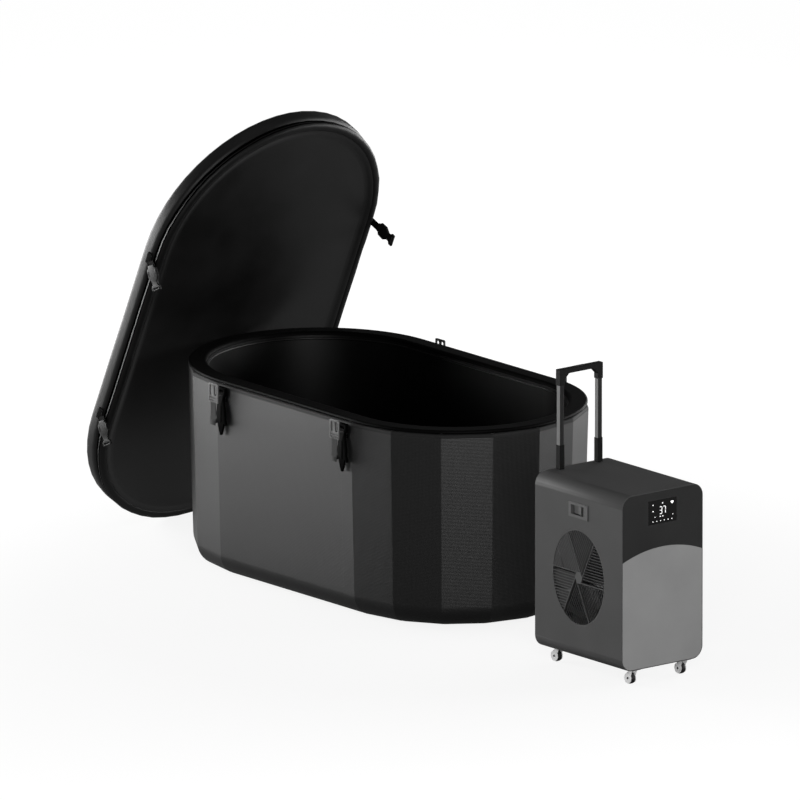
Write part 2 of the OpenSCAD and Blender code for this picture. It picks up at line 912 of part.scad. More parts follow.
// Six ribs leave a small hexagon, pinwheel fashion, and each sector's louvres run
// parallel with the rib at its foot. Worked out round, then narrowed to the ellipse.
rib_off = hub_r * cos(30);
louvre_t = 1.8;
louvre_inset = 1;
louvre_n = ceil(grille_h / 2 / louvre_pitch);
grille_r = grille_h / 2;
louvre_reach = grille_r - ring_w / 2;
function turned(x, y, k) = [
    (x * cos(60 * k) - y * sin(60 * k)) * grille_share,
    x * sin(60 * k) + y * cos(60 * k)];
function rib_end(y) = sqrt(pow(louvre_reach, 2) - pow(y, 2));
function louvre_start(v) = rib_off / cos(30) + v * tan(30) - rib_w / 2;

module grille_bar(x1, x2, y1, y2, k) {
    linear_extrude(height = grille_t)
        polygon([turned(x1, y1, k), turned(x2, y1, k), turned(x2, y2, k), turned(x1, y2, k)]);
}

module louvre(k, v) {
    low = louvre_inset;
    high = grille_t - louvre_inset;
    slant = (high - low) * tan(louvre_a);
    section = [[v, low], [v + louvre_t, low], [v + louvre_t + slant, high], [v + slant, high]];
    far = max(section[1][0], section[2][0]);
    if (rib_end(min(far, louvre_reach)) - louvre_start(far) > 2 * rib_w)
        polyhedron(
            points = concat(
                [for (p = section) concat(turned(louvre_start(p[0]), p[0], k), p[1])],
                [for (p = section) concat(turned(rib_end(p[0]), p[0], k), p[1])]),
            faces = concat(
                [[0, 1, 2, 3], [7, 6, 5], [7, 5, 4]],
                [for (i = [0:3]) let (j = (i + 1) % 4) [j, i, 4 + i, 4 + j]]));
}

module fan_grille() {
    b = grille_r;
    a = grille_w / 2;
    color([0.06, 0.06, 0.06])
        at_chiller()
            translate([0, -side_y + grille_t + gap, case_z + grille_z])
                rotate([90, 0, 0]) {
                    difference() {
                        union() {
                            linear_extrude(height = grille_t)
                                polygon(ellipse(a, b));
                            linear_extrude(height = grille_t - case_t)
                                polygon(ellipse(a + grille_lip, b + grille_lip));
                        }
                        translate([0, 0, -over])
                            linear_extrude(height = grille_t + 2 * over)
                                polygon(ellipse(a - ring_w, b - ring_w));
                    }
                    linear_extrude(height = grille_t)
                        polygon([for (k = [0:5]) turned(hub_r + hub_lap, 0, k)]);
                    for (k = [0:5]) {
                        grille_bar(0, rib_end(rib_off), -rib_off, rib_w - rib_off, k);
                        for (j = [1:louvre_n])
                            louvre(k, j * louvre_pitch - rib_off);
                    }
                }
}

module at_fan() {
    at_chiller()
        translate([0, fan_y, case_z + grille_z])
            rotate([-90, 0, 0])
                children();
}

module fan_shroud() {
    hole_r = fan_r + duct_t;
    inner_w = shroud_w - 2 * duct_t;
    color([0.1, 0.1, 0.1])
        at_fan() {
            linear_extrude(height = duct_t)
                difference() {
                    square([shroud_w, shroud_w], center = true);
                    circle(r = hole_r);
                }
            linear_extrude(height = condenser_space - gap)
                difference() {
                    square([shroud_w, shroud_w], center = true);
                    square([inner_w, inner_w], center = true);
                }
            difference() {
                cylinder(r = hole_r + duct_t, h = duct_l);
                translate([0, 0, -over])
                    cylinder(r = hole_r, h = duct_l + 2 * over);
            }
            translate([0, 0, duct_l - duct_t]) {
                for (a = [45, 135])
                    rotate([0, 0, a])
                        difference() {
                            translate([-hole_r - duct_t / 2, -arm_w / 2, 0])
                                cube([2 * hole_r + duct_t, arm_w, duct_t]);
                            translate([0, 0, -over])
                                cylinder(r = fan_hub_r, h = duct_t + 2 * over);
                        }
                difference() {
                    cylinder(r = fan_hub_r + duct_t, h = duct_t);
                    translate([0, 0, -over])
                        cylinder(r = fan_hub_r - 2 * duct_t, h = duct_t + 2 * over);
                }
            }
        }
}

module fan_motor() {
    color([0.35, 0.35, 0.37])
        at_fan() {
            translate([0, 0, duct_l])
                cylinder(r = fan_hub_r, h = motor_l);
            translate([0, 0, duct_l - 2 * duct_t])
                cylinder(r = fan_hub_r - 2 * duct_t - gap, h = 2 * duct_t);
            translate([0, 0, shaft_start])
                cylinder(r = shaft_r, h = duct_l);
        }
}

// A blade is a curved section that widens and flattens from root to tip.
blade_steps = 5;
blade_t = 2.2;
hub_step = 6;
blade_root_r = 24;
blade_tip_gap = 2;
blade_tip_r = fan_r - blade_tip_gap;
root_chord = 34.5;
tip_chord = 57;
root_pitch = 52;
tip_pitch = 26;
bow_share = 0.09;
function blend(from, to, share) = from + (to - from) * share;
function blade_ring(share) =
    let (
        r = blend(blade_root_r, blade_tip_r, share),
        chord = blend(root_chord, tip_chord, share),
        pitch = blend(root_pitch, tip_pitch, share),
        bow = bow_share * chord,
        line = [for (i = [0:4]) let (u = i / 4 - 0.5) [u * chord, bow * (1 - 4 * u * u)]],
        shape = concat(
            [for (i = [0:4]) [line[i][0], line[i][1] - blade_t / 2]],
            [for (i = [4:-1:0]) [line[i][0], line[i][1] + blade_t / 2]]))
    [for (p = shape) [
        -p[0] * sin(pitch) + p[1] * cos(pitch),
        -p[0] * cos(pitch) - p[1] * sin(pitch),
        r]];

module fan_blades() {
    color([0.16, 0.16, 0.17])
        at_fan()
            difference() {
                union() {
                    cylinder(r = fan_hub_r - hub_step, h = blade_depth - gap);
                    for (k = [0:fan_blades_n - 1])
                        rotate([0, 0, 360 * k / fan_blades_n])
                            translate([0, 0, blade_depth / 2])
                                rotate([0, 90, 0])
                                    loft([for (j = [0:blade_steps]) blade_ring(j / blade_steps)]);
                }
                translate([0, 0, -over])
                    cylinder(r = shaft_r + fit_gap, h = blade_depth + 2 * over);
            }
}

module condenser() {
    w = shroud_w + 2 * condenser_margin;
    h = grille_z + shroud_w / 2 - case_t - base_plate_t;
    color([0.6, 0.6, 0.62])
        at_chiller()
            translate([-w / 2, condenser_y, case_floor])
                difference() {
                    cube([w, condenser_t, h]);
                    for (k = [1:condenser_rows - 1])
                        translate([-over, -over, k * h / condenser_rows])
                            cube([w + 2 * over, fin_d + over, fin_h]);
                }
}

// The inner units keep their distance from the back, the front and the far side.
compressor_back = 117;
compressor_inset = 99;
compressor_r = 56;
compressor_h = 200;
compressor_foot_r = 20;
compressor_dome_r = 30;
compressor_lift = 12;
foot_w = 24;
foot_t = 14;
foot_l = 67;
foot_x = 39;
module compressor() {
    r = compressor_r;
    h = compressor_h;
    f = compressor_foot_r;
    d = compressor_dome_r;
    color([0.12, 0.12, 0.12])
        at_chiller()
            translate([compressor_back - front_x, side_y - compressor_inset, case_floor]) {
                rotate_extrude()
                    polygon(concat(
                        [[0, compressor_lift]],
                        arc(r - f, compressor_lift + f, f, -90, 0, 4),
                        arc(r - d, h - d, d, 0, 90, 5), [[0, h]]));
                for (s = [-1, 1])
                    translate([s * foot_x - foot_w / 2, -foot_l / 2, 0])
                        cube([foot_w, foot_l, foot_t]);
            }
}

exchanger_x = 30;
exchanger_inset = 93;
exchanger_r = 48;
exchanger_h = 270;
exchanger_dome_r = 16;
exchanger_neck = 20;
module heat_exchanger() {
    r = exchanger_r;
    h = exchanger_h;
    d = exchanger_dome_r;
    color([0.2, 0.2, 0.22])
        at_chiller()
            translate([exchanger_x, side_y - exchanger_inset, case_floor]) {
                rotate_extrude()
                    polygon(concat([[0, 0], [r, 0]], arc(r - d, h - d, d, 0, 90, 4), [[0, h]]));
                cylinder(r = water_r, h = h + exchanger_neck);
            }
}

pump_front = 64;
pump_inset = 91;
pump_r = 34;
pump_l = 88;
volute_r = 40;
volute_l = 22;
pump_axis_h = 44;
pump_base_w = 68;
pump_base_l = 60;
pump_base_h = 14;
module pump() {
    color([0.14, 0.14, 0.16])
        at_chiller()
            translate([front_x - pump_front, side_y - pump_inset, case_floor]) {
                translate([-pump_base_w / 2, -pump_base_l / 2, 0])
                    cube([pump_base_w, pump_base_l, pump_base_h]);
                translate([0, -pump_l / 2, pump_axis_h])
                    rotate([-90, 0, 0])
                        cylinder(r = pump_r, h = pump_l);
                translate([0, pump_l / 2, pump_axis_h])
                    rotate([-90, 0, 0])
                        cylinder(r = volute_r, h = volute_l);
            }
}

box_d = 60;
box_w = 140;
box_h = 88;
box_z = 440;
module control_box() {
    color([0.2, 0.2, 0.2])
        at_chiller()
            translate([front_x - panel_t - box_d - gap, -box_w / 2, case_z + box_z])
                cube([box_d, box_w, box_h]);
}

bezel_body_w = bezel_w - 2 * bezel_t - 2 * gap;
bezel_body_h = bezel_h - 2 * bezel_t - 2 * gap;
module breaker_bezel() {
    color([0.2, 0.2, 0.2])
        at_chiller()
            difference() {
                union() {
                    on_side(bezel_z, -side_y - bezel_t, bezel_t)
                        square([bezel_w, bezel_h], center = true);
                    on_side(bezel_z, -side_y, bezel_d)
                        square([bezel_body_w, bezel_body_h], center = true);
                }
                on_side(bezel_z, -side_y - bezel_t - over, bezel_d)
                    translate([pocket_x, 0])
                        square([pocket_w, pocket_h], center = true);
                at_rocker(0)
                    cylinder(r = rocker_pin_r + fit_gap, h = rocker_pin_span + gap, center = true);
            }
}

module at_rocker(a) {
    translate([pocket_x, -side_y + bezel_d / 2, case_z + bezel_z])
        rotate([0, 0, a])
            children();
}

module breaker_rocker() {
    w = rocker_w / 2;
    t = rocker_t;
    color([0.3, 0.3, 0.3])
        at_chiller()
            at_rocker(-rocker_a) {
                linear_extrude(height = rocker_h, center = true) {
                    polygon([[-w, -t - rocker_dish], [0, -t], [w, -t - rocker_dish], [w, 0], [-w, 0]]);
                    circle(r = 2 * rocker_pin_r);
                }
                cylinder(r = rocker_pin_r, h = rocker_pin_span, center = true);
            }
}

module chiller_ports() {
    color([0.12, 0.12, 0.12])
        at_chiller()
            for (z = chiller_port_z)
                translate([-front_x, chiller_port_y, case_z + z])
                    rotate([0, -90, 0]) {
                        bulkhead(panel_t, tail_l);
                        port_nut();
                    }
}

// A box centred on the inlet's axis, reaching inwards from a given depth.
module inlet_block(w, h, from, to) {
    translate([from, -w / 2, -h / 2])
        cube([to - from, w, h]);
}

module power_inlet() {
    color([0.03, 0.03, 0.03])
        at_chiller()
            translate([-front_x, inlet_y, case_z + inlet_z]) {
                difference() {
                    union() {
                        inlet_block(inlet_w + 2 * inlet_lip, inlet_h + 2 * inlet_lip, -inlet_lip_t, 0);
                        inlet_block(inlet_w, inlet_h, 0, inlet_d);
                    }
                    inlet_block(socket_w, socket_h, -inlet_lip_t - over, socket_d);
                }
                for (k = [-1:1])
                    translate([0, k * blade_pitch, 0])
                        inlet_block(inlet_blade_t, blade_w, socket_d - blade_l, socket_d + over);
            }
}

module exhaust_grille() {
    pitch = exhaust_h / exhaust_rows;
    slot_w = exhaust_w / 2 - exhaust_margin;
    color([0.06, 0.06, 0.06])
        at_chiller()
            on_side(exhaust_z, side_y - case_t - exhaust_t, exhaust_t)
                difference() {
                    square([exhaust_w + 2 * exhaust_margin, exhaust_h + 2 * exhaust_margin], center = true);
                    for (k = [1:exhaust_rows])
                        for (s = [-1, 1])
                            translate([s * exhaust_w / 4, (k - (exhaust_rows + 1) / 2) * pitch])
                                square([slot_w, exhaust_slot_share * pitch], center = true);
                }
}

module handle_guides() {
    color([0.4, 0.4, 0.42])
        at_chiller()
            difference() {
                handle_posts(guide_w, case_top - guide_l, case_top);
                handle_posts(guide_w - 2 * guide_t, case_top - guide_l - over, case_top + over);
            }
}

middle_l = guide_l - stage_play;
module handle_middle() {
    top = case_top + middle_rise;
    color([0.35, 0.35, 0.36])
        at_chiller()
            difference() {
                handle_posts(middle_w, top - middle_l, top);
                handle_posts(middle_w - 2 * tube_t, top - middle_l - over, top + over);
            }
}

upper_foot = grip_z - upper_rise - stage_overlap;
module handle_upper() {
    color([0.45, 0.45, 0.46])
        at_chiller()
            difference() {
                handle_posts(tube_w, upper_foot, grip_z);
                handle_posts(tube_w - 2 * tube_t, upper_foot - over, grip_z - tube_t);
            }
}

grip_d_share = 1.25;
grip_d = grip_d_share * tube_w;
grip_corner_share = 2.4;
grip_corner = grip_corner_share * grip_h;
module handle_grip() {
    outer = (handle_w + grip_d) / 2;
    inner = (handle_w - grip_d) / 2;
    color([0.07, 0.07, 0.07])
        at_chiller()
            translate([handle_x, 0, 0])
                difference() {
                    translate([grip_d / 2, 0, grip_z])
                        rotate([90, 0, -90])
                            linear_extrude(height = grip_d)
                                difference() {
                                    translate([-outer, -grip_corner])
                                        square([2 * outer, grip_corner + grip_h]);
                                    polygon([
                                        [-inner, -grip_corner - over],
                                        [-inner, -grip_corner / 2],
                                        [-inner + grip_corner / 2, 0],
                                        [inner - grip_corner / 2, 0],
                                        [inner, -grip_corner / 2],
                                        [inner, -grip_corner - over]]);
                                }
                    translate([-handle_x, 0, 0])
                        handle_posts(tube_w + 2 * gap, grip_z - grip_corner - over, grip_z + gap);
                    translate([0, 0, grip_z + grip_h - button_seat - button_travel])
                        linear_extrude(height = button_seat + button_travel + over)
                            square([grip_d / 2 + 2 * gap, button_l + 2 * gap], center = true);
                }
}

module grip_button() {
    color([0.15, 0.15, 0.15])
        at_chiller()
            translate([handle_x - grip_d / 4, -button_l / 2, grip_z + grip_h - button_seat + gap])
                cube([grip_d / 2, button_l, button_h]);
}

function castor_at(i) = [i < 3 ? castor_front : -castor_rear, (i % 2 == 1 ? -1 : 1) * castor_y];
module at_castor(i) {
    at_chiller()
        translate([castor_at(i)[0], castor_at(i)[1], 0])
            children();
}

crown_z = case_z - castor_plate_t - gap;
module castor_plates() {
    color([0.6, 0.6, 0.62])
        for (i = [1:4])
            at_castor(i)
                difference() {
                    translate([-castor_plate_w / 2, -castor_plate_w / 2, case_z - castor_plate_t])
                        cube([castor_plate_w, castor_plate_w, castor_plate_t]);
                    translate([0, 0, case_z - castor_plate_t - over])
                        cylinder(r = kingpin_r + fit_gap, h = castor_plate_t + 2 * over);
                }
}

module castor_fork(i) {
    leg_y = wheel_w / 2 + leg_gap;
    pin_top = case_z + case_t + gap;
    color([0.12, 0.12, 0.12])
        at_castor(i) {
            translate([0, 0, crown_z - crown_t])
                cylinder(r = crown_r, h = crown_t);
            translate([0, 0, crown_z - crown_t])
                cylinder(r = kingpin_r, h = pin_top - crown_z + crown_t);
            translate([0, 0, case_z + gap])
                cylinder(r = king_head_r, h = case_t);
            for (s = [-1, 1])
                translate([0, s * (leg_y + leg_t / 2) + leg_t / 2, 0])
                    rotate([90, 0, 0])
                        linear_extrude(height = leg_t) {
                            polygon([
                                [-trail - 2 * axle_r, wheel_r - axle_r],
                                [-trail + 2 * axle_r, wheel_r - 2 * axle_r],
                                [leg_share * crown_r, crown_z - crown_t],
                                [-leg_share * crown_r, crown_z - crown_t]]);
                            translate([-trail, wheel_r])
                                circle(r = wheel_r - cheek_set);
                        }
            translate([-trail, leg_y + leg_t, wheel_r])
                rotate([90, 0, 0])
                    cylinder(r = axle_r, h = 2 * (leg_y + leg_t));
        }
}

module castor_wheel(i) {
    color([0.85, 0.85, 0.85])
        at_castor(i)
            translate([-trail, wheel_w / 2, wheel_r])
                rotate([90, 0, 0])
                    difference() {
                        cylinder(r = wheel_r, h = wheel_w);
                        translate([0, 0, -over])
                            cylinder(r = axle_r + fit_gap, h = wheel_w + 2 * over);
                    }
}

module castor_fork_1() { castor_fork(1); }
module castor_fork_2() { castor_fork(2); }
module castor_fork_3() { castor_fork(3); }
module castor_fork_4() { castor_fork(4); }
module castor_wheel_1() { castor_wheel(1); }
module castor_wheel_2() { castor_wheel(2); }
module castor_wheel_3() { castor_wheel(3); }
module castor_wheel_4() { castor_wheel(4); }

tub_wrap();
base_panel();
floor_board();
wall_staves();
inner_liner();
rim_band();
hose_ports();
port_nuts();
drain_valve();
drain_lever();
strap_patches();
tub_strap_1();
tub_strap_2();
tub_strap_3();
tub_strap_4();
lid_cover();
lid_core();
lid_edge_roll();
lid_panel();
lid_piping();
lid_patches();
lid_strap_1();
lid_strap_2();
lid_strap_3();
lid_strap_4();
case_wrap();
front_upper();
front_lower();
back_panel();
base_plate();
display_lens();
fan_grille();
fan_shroud();
fan_motor();
fan_blades();
condenser();
compressor();
heat_exchanger();
pump();
control_box();
breaker_bezel();
breaker_rocker();
chiller_ports();
power_inlet();
exhaust_grille();
handle_guides();
handle_middle();
handle_upper();
handle_grip();
grip_button();
castor_plates();
castor_fork_1();
castor_fork_2();
castor_fork_3();
castor_fork_4();
castor_wheel_1();
castor_wheel_2();
castor_wheel_3();
castor_wheel_4();
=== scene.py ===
from math import atan, atan2, copysign, cos, dist, hypot, radians, sin, tau

import bmesh
import bpy
from mathutils import Matrix, Vector, noise


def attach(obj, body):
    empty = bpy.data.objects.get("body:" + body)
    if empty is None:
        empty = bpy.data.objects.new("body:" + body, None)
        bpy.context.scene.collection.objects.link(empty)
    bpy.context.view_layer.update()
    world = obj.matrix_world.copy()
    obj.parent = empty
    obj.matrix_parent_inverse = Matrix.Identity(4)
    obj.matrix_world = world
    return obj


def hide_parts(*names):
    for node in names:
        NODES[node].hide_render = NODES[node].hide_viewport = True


bl_info = {
    "name": "Cold Plunge Tub Set",
    "version": (1, 0, 0),
    "blender": (4, 5, 0),
    "location": "View3D > Sidebar > Plunge Tub",
    "description": "Dresses an insulated plunge tub, its padded lid and its water chiller",
    "category": "Object",
}

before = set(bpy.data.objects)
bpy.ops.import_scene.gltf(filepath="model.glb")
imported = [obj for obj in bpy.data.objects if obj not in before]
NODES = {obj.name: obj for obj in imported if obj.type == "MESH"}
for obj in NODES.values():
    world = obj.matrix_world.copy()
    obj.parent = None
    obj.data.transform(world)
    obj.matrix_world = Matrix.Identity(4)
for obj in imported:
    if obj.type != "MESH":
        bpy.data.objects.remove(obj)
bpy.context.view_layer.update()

# Sizes of the solids that the dressed pieces follow, in metres.
HALF_RUN = 0.332
CORNER_R = 0.418
FACETS = 8
WALL_LEAN = 0.018 / 0.640
TUB_H = 0.640
WALL_TOP = 0.628
FOOT_R = 0.070
SHOULDER_R = 0.008
BASE_T = 0.003
WRAP_T = 0.003

LID_TILT = radians(65.6)
LID_AT = Vector((-0.711015, -0.017, 0.686737))
LID_RUN = 0.326
LID_R = 0.435
LID_T = 0.080
SEAM_Z = 0.028
ROLL_H = 0.024
ROLL_SET = 0.003
ROLL_W = 0.030
RECESS = 0.010

STRAP_X = 0.300
WEB_W = 0.026
CASE_AT = Vector((1.319, -0.150, 0.049))
CASE_D = 0.424
LENS_RISE = 0.490
SCREW_RISES = (0.030, 0.278, 0.527)
SCREW_Y = 0.135
FRONT_CASTOR_X = 0.178
REAR_CASTOR_X = -0.180
CASTOR_Y = 0.100
AXLE_CAP_OUT = 0.0105
WHEEL_R = 0.0185
# A turned solid is closed on its axis by a flat of this radius.
AXIS_R = 0.0001

# Edges that turn by more than this are softened. The width is for the solids that stay in view.
EDGE_ANGLE = radians(40)
EDGE_WIDTH = 0.0007
WELD_GAP = 0.00001


# Modelling helpers

def object_mode():
    if bpy.context.mode != "OBJECT":
        bpy.ops.object.mode_set(mode="OBJECT")


def clear_selection():
    object_mode()
    bpy.ops.object.select_all(action="DESELECT")


def select_only(*pieces):
    clear_selection()
    for piece in pieces:
        piece.select_set(True)
    bpy.context.view_layer.objects.active = pieces[-1]


def select_mesh():
    bpy.ops.mesh.select_all(action="SELECT")


def named(name):
    """Names the object that was just added."""
    piece = bpy.context.object
    piece.name = name
    return piece


def apply_modifier(piece, kind, **values):
    modifier = piece.modifiers.new(kind.title(), kind)
    for key, value in values.items():
        setattr(modifier, key, value)
    select_only(piece)
    bpy.ops.object.modifier_apply(modifier=modifier.name)


def soften_edges(piece, width, segments=2):
    apply_modifier(piece, "BEVEL", width=width, segments=segments, limit_method="ANGLE",
                   angle_limit=EDGE_ANGLE)


def finish_piece(piece, material, body, matrix=None, smooth=35, replaces=()):
    """Places the mesh, gives it its finish and lets it ride on its body."""
    object_mode()
    if matrix is not None:
        piece.data.transform(matrix)
        piece.data.update()
    piece.data.materials.clear()
    piece.data.materials.append(material)
    select_only(piece)
    bpy.ops.object.shade_smooth_by_angle(angle=radians(smooth))
    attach(piece, body)
    if replaces:
        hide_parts(*replaces)
    return piece


def copy_of(piece, name):
    twin = piece.copy()
    twin.data = piece.data.copy()
    twin.name = name
    bpy.context.scene.collection.objects.link(twin)
    return twin


def dress_copy(part, name, look, body, place, replaces=()):
    """Sets a copy of a part in its place, with its finish, on its body."""
    finish_piece(copy_of(part, name), finish(look), body, place, replaces=replaces)


def dress_patch(patch, body, i, place, node):
    """Sets a stitched patch, its cloth and its thread, in its place."""
    for part, name, look in zip(patch, ("patch", "patch_thread"), ("patch", "stitch")):
        dress_copy(part, f"{body}_{name}_{i}", look, body, place, [node])


def shift(x, y, z):
    return Matrix.Translation((x, y, z))


def rotation(degrees, axis):
    return Matrix.Rotation(radians(degrees), 4, axis)


def discard(*parts):
    for part in parts:
        bpy.data.objects.remove(part)


def start_circle(name, count):
    """Adds a circle whose corners are to be laid in place, and enters edit mode."""
    clear_selection()
    bpy.ops.mesh.primitive_circle_add(vertices=count, radius=1.0)
    piece = named(name)
    bpy.ops.object.mode_set(mode="EDIT")
    return piece


def edit_mesh(piece):
    bm = bmesh.from_edit_mesh(piece.data)
    bm.verts.ensure_lookup_table()
    return bm


def turn_outwards():
    """Turns the faces of the mesh being edited outwards, and leaves edit mode."""
    select_mesh()
    bpy.ops.mesh.normals_make_consistent(inside=False)
    object_mode()


def lay_loop(bm, order, ring):
    for index, place in zip(order, ring):
        bm.verts[index].co = place


def loft(name, rings, close="caps"):
    """Lays a circle on the first ring and extrudes it on to each next one.
    close is caps for flat ends, or loop to join the last ring to the first."""
    count = len(rings[0])
    piece = start_circle(name, count)
    bm = edit_mesh(piece)
    first = [v.index for v in bm.verts]
    order = first
    lay_loop(bm, order, rings[0])
    for ring in rings[1:]:
        bmesh.update_edit_mesh(piece.data)
        bpy.ops.mesh.extrude_edges_move()
        bm = edit_mesh(piece)
        known = len(bm.verts) - count
        following = []
        for index in order:
            corner = bm.verts[index]
            following.append(next(e.other_vert(corner).index for e in corner.link_edges
                                  if e.other_vert(corner).index >= known))
        order = following
        lay_loop(bm, order, ring)
    bmesh.update_edit_mesh(piece.data)
    looped = close == "loop"
    for loop in [first + order] if looped else [first, order]:
        bpy.ops.mesh.select_all(action="DESELECT")
        bm = edit_mesh(piece)
        inside = set(loop)
        for edge in bm.edges:
            ends = {vert.index for vert in edge.verts}
            edge.select = len(edge.link_faces) == 1 and ends <= inside
        bmesh.update_edit_mesh(piece.data)
        if looped:
            bpy.ops.mesh.bridge_edge_loops()
        else:
            bpy.ops.mesh.edge_face_add()
    turn_outwards()
    return piece


def plate(name, outline, thickness, holes=(), bevel=0.0):
    """A flat plate from an outline and its holes, in X and Y, thickened along Z."""
    piece = start_circle(name, len(outline))
    done = 0
    for loop in [outline, *holes]:
        if done:
            bpy.ops.mesh.primitive_circle_add(vertices=len(loop), radius=1.0)
        bm = edit_mesh(piece)
        for k, (x, y) in enumerate(loop):
            bm.verts[done + k].co = (x, y, 0.0)
        done += len(loop)
        bmesh.update_edit_mesh(piece.data)
    select_mesh()
    bpy.ops.mesh.fill(use_beauty=True)
    select_mesh()
    bpy.ops.mesh.dissolve_limited(angle_limit=radians(1))
    select_mesh()
    bpy.ops.mesh.extrude_region_move(TRANSFORM_OT_translate={"value": (0.0, 0.0, thickness)})
    turn_outwards()
    if bevel:
        soften_edges(piece, bevel)
    return piece


def block(name, low, high, bevel=0.0, segments=2):
    """A box between two corners with softened edges."""
    clear_selection()
    low, high = Vector(low), Vector(high)
    bpy.ops.mesh.primitive_cube_add(size=1.0)
    piece = named(name)
    bpy.ops.object.mode_set(mode="EDIT")
    select_mesh()
    bpy.ops.transform.resize(value=tuple(high - low))
    bpy.ops.transform.translate(value=tuple((low + high) / 2))
    object_mode()
    if bevel:
        soften_edges(piece, bevel, segments)
    return piece


def turned_solid(name, profile, steps=32):
    """Spins a profile of (radius, height) points once round Z."""
    return loft(name, [[Vector((*polar(0, 0, r, 360 * k / steps), z)) for k in range(steps)]
                       for r, z in profile])


def join(name, pieces):
    select_only(*pieces)
    bpy.ops.object.join()
    return named(name)


def polar(cx, cy, r, degrees):
    """The point at an angle and a distance from a centre."""
    return cx + r * cos(radians(degrees)), cy + r * sin(radians(degrees))


def arc_points(cx, cy, r, start, stop, steps):
    return [polar(cx, cy, r, start + (stop - start) * k / steps) for k in range(steps + 1)]


def between(a, b, count):
    """Evenly spaced points between two points, without the two."""
    return [(a[0] + (b[0] - a[0]) * j / (count + 1), a[1] + (b[1] - a[1]) * j / (count + 1))
            for j in range(1, count + 1)]


def rounded_outline(w, h, r, steps=4):
    points = []
    for cx, cy, start in ((w / 2 - r, h / 2 - r, 0), (-w / 2 + r, h / 2 - r, 90),
                          (-w / 2 + r, -h / 2 + r, 180), (w / 2 - r, -h / 2 + r, 270)):
        points += arc_points(cx, cy, r, start, start + 90, steps)
    return points


def lay_uv(piece, place):
    """Writes a UV map in metres from a function of a corner's place and face normal."""
    layer = piece.data.uv_layers.get("cloth") or piece.data.uv_layers.new(name="cloth")
    for face in piece.data.polygons:
        for corner in face.loop_indices:
            at = piece.data.vertices[piece.data.loops[corner].vertex_index].co
            layer.data[corner].uv = place(at, face.normal)


# Materials

# Brush lines are this much finer across than along.
BRUSH_STRETCH = (900.0, 900.0, 6.0)
BRUSH_DEPTH = 0.00004
# How strongly a relief shows on each kind of surface.
CLOTH_RELIEF = 0.35
MOULDED_RELIEF = 0.25
BRUSH_RELIEF = 0.15
# The weave's share of a cloth's tone, and the grain's share of its relief.
WEAVE_SHARE = 0.6
GRAIN_SHARE = 0.3
CLOTH_GRAIN = 400.0
HEM_ROUGH = 0.78
HEM_H = 0.013


def new_group(name, setting, kind, default, outputs):
    """A group that takes a Vector and one named setting, and puts out numbers."""
    group = bpy.data.node_groups.new(name, "ShaderNodeTree")
    group.interface.new_socket(name="Vector", in_out="INPUT", socket_type="NodeSocketVector")
    made = group.interface.new_socket(name=setting, in_out="INPUT", socket_type=kind)
    made.default_value = default
    for title in outputs:
        group.interface.new_socket(name=title, in_out="OUTPUT", socket_type="NodeSocketFloat")
    return group, group.nodes.new("NodeGroupInput"), group.nodes.new("NodeGroupOutput")


def put(tree, socket, value):
    """Links a socket to another one, or sets its plain value."""
    if isinstance(value, bpy.types.NodeSocket):
        tree.links.new(value, socket)
    else:
        socket.default_value = value


def add_node(tree, kind, **inputs):
    """Adds a shader node. Its inputs are named in lower case, with _ for a space."""
    node = tree.nodes.new("ShaderNode" + kind)
    for name, value in inputs.items():
        put(tree, node.inputs[name.replace("_", " ").title()], value)
    return node


def operate(tree, kind, operation, values):
    """Adds a node that works on values, which go to its inputs in order. Gives its outputs."""
    node = add_node(tree, kind)
    node.operation = operation
    for socket, value in zip(node.inputs, values):
        put(tree, socket, value)
    return node.outputs


def math_node(tree, operation, *values):
    return operate(tree, "Math", operation, values)[0]


def build_twill():
    """Diagonal twill: ribs of thread crossed by their own laps. Gives a height and a shade."""
    group, inlet, outlet = new_group("Twill weave", "Pitch", "NodeSocketFloat", 0.004, ("Height", "Shade"))
    parts = add_node(group, "SeparateXYZ", vector=inlet.outputs["Vector"])
    turns = math_node(group, "DIVIDE", tau, inlet.outputs["Pitch"])
    waves = []
    for crossing in ("ADD", "SUBTRACT"):
        way = math_node(group, crossing, parts.outputs[0], parts.outputs[1])
        waves.append(math_node(group, "SINE", math_node(group, "MULTIPLY", way, turns)))
    crossed = math_node(group, "MULTIPLY", *waves)
    height = math_node(group, "MULTIPLY", math_node(group, "ADD", crossed, 1.0), 0.5)
    group.links.new(height, outlet.inputs["Height"])
    group.links.new(math_node(group, "POWER", height, 0.7), outlet.inputs["Shade"])
    return group


def build_grain():
    """Fine moulded grain over a slow mottling. Gives a height and a mottle mask."""
    group, inlet, outlet = new_group("Moulded grain", "Scale", "NodeSocketFloat", 900.0, ("Height", "Mottle"))
    at = inlet.outputs["Vector"]
    fine = add_node(group, "TexNoise", vector=at, scale=inlet.outputs["Scale"], detail=3.0, roughness=0.6)
    slow = add_node(group, "TexNoise", vector=at, scale=7.0, detail=4.0)
    group.links.new(fine.outputs[0], outlet.inputs["Height"])
    group.links.new(slow.outputs[0], outlet.inputs["Mottle"])
    return group


def build_brushed():
    """Straight brush lines along Z with fine scratches. Gives a height and a streak mask."""
    group, inlet, outlet = new_group("Brush lines", "Stretch", "NodeSocketVector", BRUSH_STRETCH,
                                     ("Height", "Streak"))
    factors = (inlet.outputs["Vector"], inlet.outputs["Stretch"])
    scaled = operate(group, "VectorMath", "MULTIPLY", factors)[0]
    lines = add_node(group, "TexNoise", vector=scaled, scale=1.0, detail=5.0)
    for name in ("Height", "Streak"):
        group.links.new(lines.outputs[0], outlet.inputs[name])
    return group


GROUPS = {}


def shared(name):
    if name not in GROUPS:
        GROUPS[name] = {"twill": build_twill, "grain": build_grain, "brushed": build_brushed}[name]()
    return GROUPS[name]


